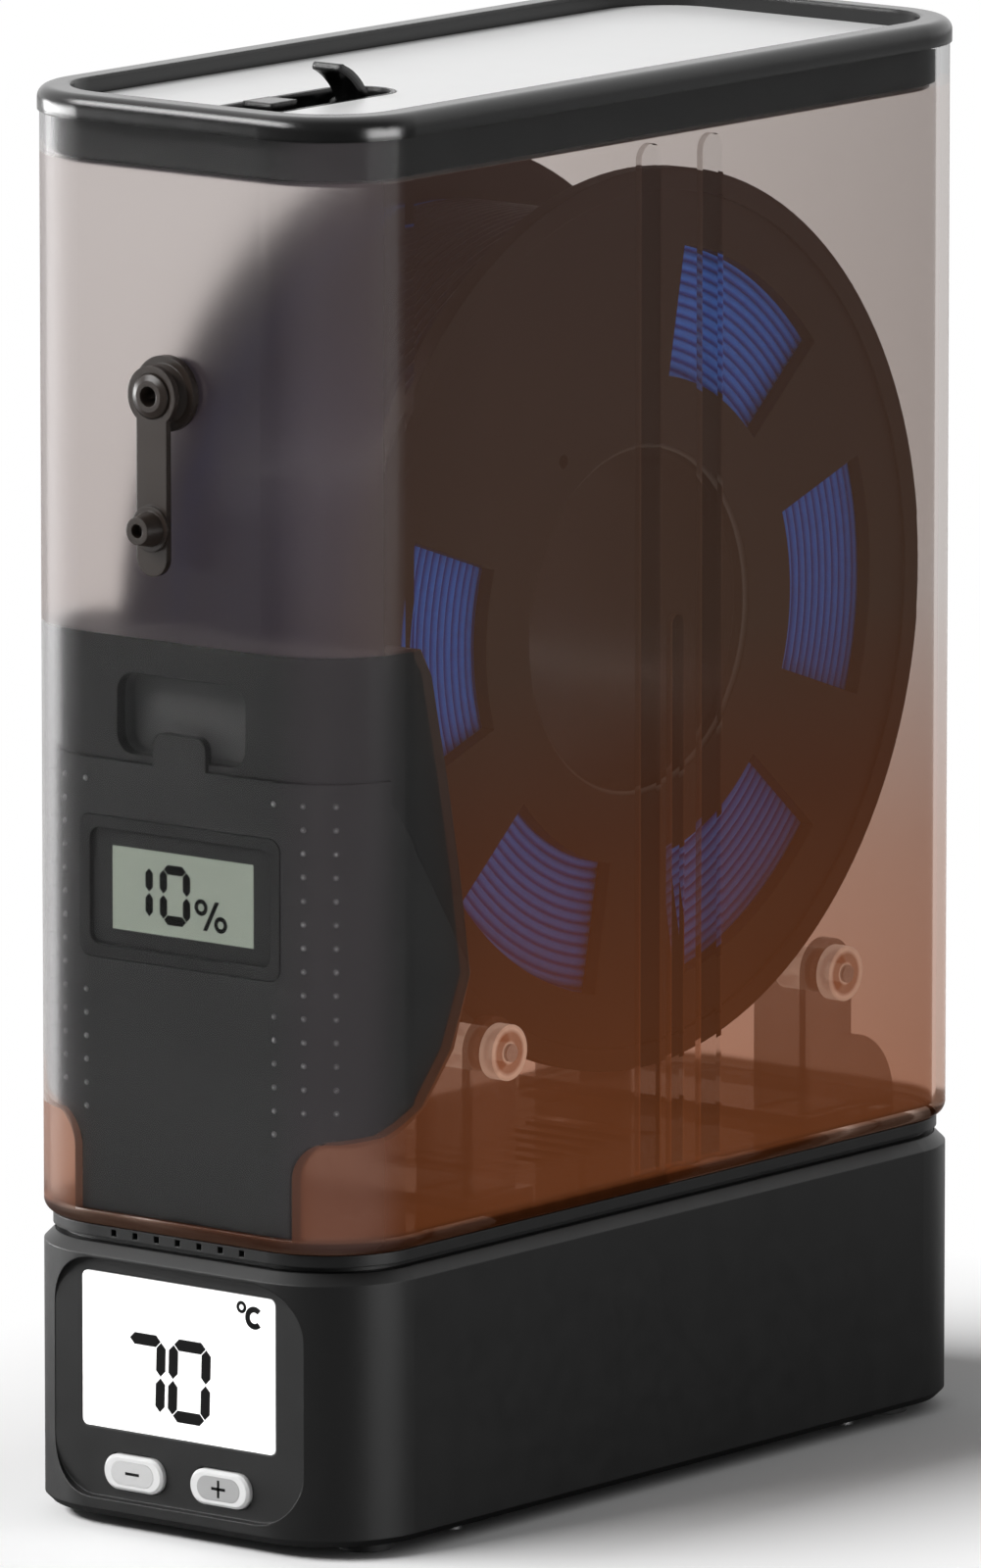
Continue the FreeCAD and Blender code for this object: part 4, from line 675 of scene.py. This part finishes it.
def arc_band(build, x, z, radius, width, start, end, count, face_y):
    """Flat curved band, drawn as short plates."""
    for index in range(count):
        a0 = math.radians(start + (end - start) * index / count)
        a1 = math.radians(start + (end - start) * (index + 1) / count)
        corners = []
        for reach, angle in ((radius - width / 2, a0), (radius + width / 2, a0),
                             (radius + width / 2, a1), (radius - width / 2, a1)):
            corners.append((x + reach * math.cos(angle), z + reach * math.sin(angle)))
        plate(build, corners, SKIN / 2, face_y)


# Figures on both displays, in millimetres from the upper left corner: figure, left, foot, width, height
BASE_DIGITS = [("7", 11.5, 30.5, 11.6, 18.4), ("0", 24.0, 30.6, 11.8, 18.5)]
BASE_STROKE = 2.6 * MM
BASE_SLANT = 0.03
METER_DIGITS = [("1", 4.6, 15.7, 6.8, 13.0), ("0", 13.3, 15.8, 8.6, 13.2)]
METER_STROKE = 2.1 * MM
# Round parts of the units: across, down, radius, width, start and end angle, steps
BASE_UNIT = [(44.9, 2.7, 1.0, 0.75, 0, 360, 20), (48.5, 4.7, 1.9, 1.3, 45, 315, 20)]
METER_UNIT = [(24.9, 10.9, 1.35, 1.0, 0, 360, 18), (30.4, 14.2, 1.35, 1.0, 0, 360, 18)]
METER_SLASH = [(25.4, 15.9), (26.6, 15.9), (30.0, 9.3), (28.8, 9.3)]


def figures(build, node, digits, stroke, slant, unit):
    """Draw the figures and the round parts of the unit on a display, and give its place."""
    low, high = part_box(node)
    face_y = low.y - SKIN
    for figure, left, foot, width, height in digits:
        digit(build, figure, low.x + left * MM, high.z - foot * MM, width * MM, height * MM,
              stroke, slant, face_y)
    for across, down, radius, width, start, end, count in unit:
        arc_band(build, low.x + across * MM, high.z - down * MM, radius * MM, width * MM,
                 start, end, count, face_y)
    return low.x, high.z, face_y


def base_figures():
    """Temperature figures and unit on the white display."""
    build = bmesh.new()
    figures(build, "display_window", BASE_DIGITS, BASE_STROKE, BASE_SLANT, BASE_UNIT)
    piece("temperature_figures", build, ink, "base", smooth=False)


def meter_figures():
    """Humidity figures and per cent sign on the grey display."""
    build = bmesh.new()
    left, top, face_y = figures(build, "hygrometer_lens", METER_DIGITS, METER_STROKE, 0.0, METER_UNIT)
    plate(build, [(left + x * MM, top - z * MM) for x, z in METER_SLASH], SKIN / 2, face_y)
    piece("humidity_figures", build, ink, "container", smooth=False)


def stadium(x, z, half_x, half_z, count):
    """Outline with round ends."""
    points = []
    for side in (1, -1):
        for index in range(count + 1):
            turn = math.pi * (index / count - 0.5)
            reach = half_x - half_z + half_z * math.cos(turn)
            points.append((x + side * reach, z + side * half_z * math.sin(turn)))
    return points


# Half sizes of the strokes and of the inner oval on a button
MARK_LONG = 1.95 * MM
MARK_THIN = 0.32 * MM
DISH_HALF = (6.0 * MM, 2.65 * MM)
DISH_STEPS = 12


def button_marks():
    """Inner oval in painted shade, and minus or plus, on each of the two buttons."""
    for node, body, upright, dish_shade in (("minus_button", "minus_key", False, dish_shade_minus),
                                      ("plus_button", "plus_key", True, dish_shade_plus)):
        low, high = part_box(node)
        x = (low.x + high.x) / 2
        z = (low.z + high.z) / 2
        build = bmesh.new()
        strokes = [(MARK_LONG, MARK_THIN)] + ([(MARK_THIN, MARK_LONG)] if upright else [])
        for half_x, half_z in strokes:
            corners = [(x - half_x, z - half_z), (x + half_x, z - half_z), (x + half_x, z + half_z),
                       (x - half_x, z + half_z)]
            plate(build, corners, SKIN / 2, low.y - SKIN)
        piece(body + "_mark", build, ink, body, smooth=False)
        build = bmesh.new()
        plate(build, stadium(x, z, *DISH_HALF, DISH_STEPS), SKIN / 2, low.y - SKIN / 2)
        piece(body + "_dish", build, dish_shade, body, smooth=False)


def wound_filament():
    """One closed body of revolution whose ridges run as a helix outside and as layers on the sides."""
    layers = int((WIND_TOP_R - WIND_IN_R) / LAYER_PITCH)
    turns = int(2 * WIND_HALF / WIND_PITCH)
    build = bmesh.new()
    rings = []
    for step in range(WIND_STEPS):
        angle = 2 * math.pi * step / WIND_STEPS
        ring = []
        for index in range(layers * RIDGE_STEPS + 1):
            wave = abs(math.sin(math.pi * index / RIDGE_STEPS))
            ring.append((WIND_HALF - RIDGE * (1 - wave), WIND_IN_R + LAYER_PITCH * index / RIDGE_STEPS))
        for index in range(turns * RIDGE_STEPS + 1):
            wave = abs(math.sin(math.pi * index / RIDGE_STEPS + angle / 2))
            x = WIND_HALF - RIDGE - 2 * (WIND_HALF - RIDGE) * index / (turns * RIDGE_STEPS)
            ring.append((x, WIND_TOP_R - RIDGE * (1 - wave)))
        for index in range(layers * RIDGE_STEPS, -1, -1):
            wave = abs(math.sin(math.pi * index / RIDGE_STEPS))
            ring.append((-WIND_HALF + RIDGE * (1 - wave), WIND_IN_R + LAYER_PITCH * index / RIDGE_STEPS))
        rings.append([build.verts.new((x, SPOOL_AXIS_Y + radius * math.cos(angle),
                                       SPOOL_AXIS_Z + radius * math.sin(angle))) for x, radius in ring])
    for step in range(WIND_STEPS):
        here = rings[step]
        after = rings[(step + 1) % WIND_STEPS]
        for index in range(len(here)):
            onward = (index + 1) % len(here)
            build.faces.new((here[index], here[onward], after[onward], after[index]))
    bmesh.ops.recalc_face_normals(build, faces=build.faces)
    made = piece("wound_filament", build, filament_blue, "spool")
    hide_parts("filament_core", "filament_outer_turns")


# Soft bag of desiccant: crowned, with flat sealed ends; all but the counts are shares of its size
BAG_COLUMNS = 26
BAG_ROWS = 12
BAG_SEAL = 0.12
BAG_PINCH = 0.07
BAG_TAPER = 0.12
BAG_CREASE = 0.05
BAG_WAVES = (7, 2)
BAG_SQUARE = 0.7
BAG_BOW = 0.55
BAG_WIDE = 0.98
BAG_DEEP = 0.95
BAG_TALL = 0.97


def squared(value):
    """Sine or cosine pushed out towards a rounded box."""
    return math.copysign(abs(value) ** BAG_SQUARE, value)


def desiccant_bag():
    """Pillow that fills the place of the plain bag solid, pinched along its sealed ends."""
    low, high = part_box("desiccant_pack")
    middle = (low + high) / 2
    half = (high - low) / 2
    build = bmesh.new()
    rings = []
    for column in range(BAG_COLUMNS + 1):
        along = 2 * column / BAG_COLUMNS - 1
        fill = max(0.0, 1 - max(0.0, (abs(along) - (1 - BAG_SEAL)) / BAG_SEAL)) ** 0.5
        full = BAG_PINCH + (1 - BAG_PINCH) * fill * (1 - BAG_TAPER * along ** 2)
        bow = BAG_BOW * half.y * along ** 2
        ring = []
        for row in range(BAG_ROWS):
            angle = 2 * math.pi * row / BAG_ROWS
            crease = 1 - BAG_CREASE * math.sin(BAG_WAVES[0] * along + BAG_WAVES[1] * angle) ** 2
            ring.append(build.verts.new((
                middle.x + half.x * along * BAG_WIDE,
                middle.y + bow + (half.y - bow) * BAG_DEEP * squared(math.cos(angle)) * crease,
                middle.z + half.z * BAG_TALL * squared(math.sin(angle)) * full * crease)))
        rings.append(ring)
    for here, after in zip(rings, rings[1:]):
        for row in range(BAG_ROWS):
            onward = (row + 1) % BAG_ROWS
            build.faces.new((here[row], here[onward], after[onward], after[row]))
    build.faces.new(rings[0])
    build.faces.new(list(reversed(rings[-1])))
    bmesh.ops.recalc_face_normals(build, faces=build.faces)
    made = piece("desiccant_bag", build, bag_paper, "container")
    made.modifiers.new("round", "SUBSURF").render_levels = 1
    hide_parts("desiccant_pack")


# Dots on the cover's rounded corners: (angle round the corner, rows from the top that carry a dot)
DOT_TOP = 165.5 * MM
DOT_PITCH = 5.17 * MM
DOT_R = 0.75 * MM
DOT_HIGH = 0.4 * MM
DOT_COLUMNS = [(3.0, [0, 9, 10, 11, 12, 13, 14]), (23.0, list(range(14))), (43.0, list(range(14)))]
DOT_SIDES = 10
DOT_PROFILE = [(1.0, -0.2), (0.72, 0.62), (0.3, 0.95)]
UP = Vector((0, 0, 1))


def corner_point(degrees, side):
    """Point on the cover's rounded corner and the way out from it."""
    angle = math.radians(degrees)
    out = Vector((side * math.sin(angle), -math.cos(angle), 0))
    centre = Vector((side * (PLAN_SIDE - CORNER_R), PLAN_FRONT + CORNER_R, 0))
    return centre + out * (CORNER_R - BIN_INSET), out


def cover_dots():
    """Rows of small round studs beside the humidity meter."""
    build = bmesh.new()
    for side in (1, -1):
        for degrees, rows in DOT_COLUMNS:
            for row in rows:
                foot, out = corner_point(degrees, side)
                foot.z = DOT_TOP - DOT_PITCH * row
                across = Vector((out.y, -out.x, 0))
                loops = []
                for share, rise in DOT_PROFILE:
                    loop = []
                    for k in range(DOT_SIDES):
                        turn = 2 * math.pi * k / DOT_SIDES
                        reach = across * DOT_R * share * math.cos(turn)
                        lift = UP * DOT_R * share * math.sin(turn)
                        loop.append(build.verts.new(foot + out * DOT_HIGH * rise + reach + lift))
                    loops.append(loop)
                for inner, outer in zip(loops, loops[1:]):
                    for k in range(DOT_SIDES):
                        after = (k + 1) % DOT_SIDES
                        build.faces.new((inner[k], inner[after], outer[after], outer[k]))
                build.faces.new(loops[-1])
                build.faces.new(list(reversed(loops[0])))
    bmesh.ops.recalc_face_normals(build, faces=build.faces)
    # The studs use the lighter material that paints their highlight
    piece("cover_dots", build, dot_painted_highlight, "container")


dress_nodes()
base_figures()
meter_figures()
button_marks()
wound_filament()
desiccant_bag()
cover_dots()


# Floor, world, lamps and camera
FLOOR_HALF = 6.0
FLOOR_WHITE = (0.95, 0.95, 0.95, 1)
FLOOR_MIRRORED = (0.15, 0.15, 0.15, 1)
BACKDROP = (-0.62, 0.77, 0.15)
BACKDROP_FLOOR = (0.0, 0.4)
BACKDROP_SKY = (-0.2, 0.5)
# The floor turns plain white between these distances from the object's footprint
FLOOR_NEAR = 0.03
FLOOR_FAR = 0.13
FOOTPRINT = (49.2 * MM, 120.0 * MM, 0.0)


def make_floor():
    """White floor that keeps the shadow near the object and is plain white farther away."""
    build = bmesh.new()
    corners = [(-1, -1), (1, -1), (1, 1), (-1, 1)]
    build.faces.new([build.verts.new((x * FLOOR_HALF, y * FLOOR_HALF, 0)) for x, y in corners])
    mesh = bpy.data.meshes.new("floor")
    build.to_mesh(mesh)
    build.free()
    made = Nodes("floor_white")
    seen = made.add("ShaderNodeLightPath")
    made.set(Roughness=0.9, Emission_Color=(1, 1, 1, 1), Specular_IOR_Level=0.0)
    beside = made.place
    steps = (("ABSOLUTE", None), ("SUBTRACT", FOOTPRINT), ("MAXIMUM", (0, 0, 0)), ("LENGTH", None))
    for operation, other in steps:
        step = made.add("ShaderNodeVectorMath", operation=operation)
        made.link(beside, step.inputs[0])
        if other:
            step.inputs[1].default_value = other
        beside = step.outputs["Value" if operation == "LENGTH" else "Vector"]
    far = made.between(beside, FLOOR_NEAR, FLOOR_FAR, 0.0, 1.0)
    plain = made.math("MULTIPLY", far, seen.outputs["Is Camera Ray"])
    plain = made.math("MAXIMUM", plain, seen.outputs["Is Transmission Ray"])
    made.link(plain, made.shader.inputs["Emission Strength"])
    toward = made.add("ShaderNodeVectorMath", operation="DOT_PRODUCT")
    toward.inputs[1].default_value = BACKDROP
    made.link(made.place, toward.inputs[0])
    behind = made.between(toward.outputs["Value"], *BACKDROP_FLOOR, 0.0, 1.0)
    mirrored = made.mix(behind, FLOOR_MIRRORED, FLOOR_WHITE)
    lit = made.mix(seen.outputs["Is Glossy Ray"], FLOOR_WHITE, mirrored)
    made.link(made.mix(plain, lit, BLACK), made.shader.inputs["Base Color"])
    mesh.materials.append(made.material)
    floor = bpy.data.objects.new("floor", mesh)
    bpy.context.scene.collection.objects.link(floor)


WORLD_LIGHT = 0.26
ROOM_GLOSS = 0.22


def make_world():
    """White for the camera and through clear pieces, softer as light, and a white backdrop in mirrors."""
    world = bpy.data.worlds.new("studio")
    bpy.context.scene.world = world
    world.use_nodes = True
    tree = world.node_tree
    sky = tree.nodes["Background"]
    sky.inputs["Color"].default_value = (1, 1, 1, 1)
    path = tree.nodes.new("ShaderNodeLightPath")
    seen = tree.nodes.new("ShaderNodeMath")
    seen.operation = "MAXIMUM"
    tree.links.new(path.outputs["Is Camera Ray"], seen.inputs[0])
    tree.links.new(path.outputs["Is Transmission Ray"], seen.inputs[1])
    plain = tree.nodes.new("ShaderNodeMapRange")
    plain.inputs["To Min"].default_value = WORLD_LIGHT
    plain.inputs["To Max"].default_value = 1.0
    tree.links.new(seen.outputs["Value"], plain.inputs["Value"])
    toward = tree.nodes.new("ShaderNodeVectorMath")
    toward.operation = "DOT_PRODUCT"
    toward.inputs[1].default_value = BACKDROP
    tree.links.new(tree.nodes.new("ShaderNodeTexCoord").outputs["Generated"], toward.inputs[0])
    mirrored = tree.nodes.new("ShaderNodeMapRange")
    for socket, value in zip(("From Min", "From Max", "To Min", "To Max"), (*BACKDROP_SKY, ROOM_GLOSS, 1.0)):
        mirrored.inputs[socket].default_value = value
    tree.links.new(toward.outputs["Value"], mirrored.inputs["Value"])
    strength = tree.nodes.new("ShaderNodeMix")
    tree.links.new(path.outputs["Is Glossy Ray"], strength.inputs[0])
    tree.links.new(plain.outputs["Result"], strength.inputs[2])
    tree.links.new(mirrored.outputs["Result"], strength.inputs[3])
    tree.links.new(strength.outputs[0], sky.inputs["Strength"])


LAMP_AIM = Vector((0, 0, 0.1))


def lamp(name, place, size_x, size_y, power, gleam_only=False):
    """Soft rectangular lamp, or one that shows in shiny faces and lights nothing else."""
    light = bpy.data.lights.new(name, "AREA")
    light.shape = "RECTANGLE"
    light.size = size_x
    light.size_y = size_y
    light.energy = power
    made = bpy.data.objects.new(name, light)
    made.location = place
    made.rotation_euler = (LAMP_AIM - Vector(place)).to_track_quat("-Z", "Y").to_euler()
    made.visible_diffuse = not gleam_only
    made.visible_transmission = not gleam_only
    made.visible_camera = False
    bpy.context.scene.collection.objects.link(made)


def make_camera():
    """Camera at the photograph's angle and distance."""
    a = math.radians(AZIMUTH)
    e = math.radians(ELEVATION)
    back = Vector((math.sin(a) * math.cos(e), -math.cos(a) * math.cos(e), math.sin(e)))
    right = Vector((math.cos(a), math.sin(a), 0))
    up = back.cross(right)
    aim = Vector((0, SHIFT_Y, AIM_Z)) + right * AIM_RIGHT + up * AIM_UP
    camera = bpy.data.cameras.new("camera")
    camera.sensor_width = SENSOR
    camera.lens = FOCAL_PX * SENSOR / IMAGE_H
    camera.clip_end = CLIP_END
    made = bpy.data.objects.new("camera", camera)
    made.location = aim + back * DISTANCE
    made.rotation_euler = (-back).to_track_quat("-Z", "Y").to_euler()
    bpy.context.scene.collection.objects.link(made)
    bpy.context.scene.camera = made


make_floor()
make_world()
lamp("key", (-1.62, -2.5, 2.4), 2.8, 1.0, 160.0)
lamp("right_strip", (1.19, 0.1, 0.16), 0.8, 0.3, 6.5, gleam_only=True)
lamp("left_strip", (-1.11, -0.45, 0.16), 1.1, 0.3, 13.0, gleam_only=True)
make_camera()
bpy.context.scene.view_settings.view_transform = "Standard"
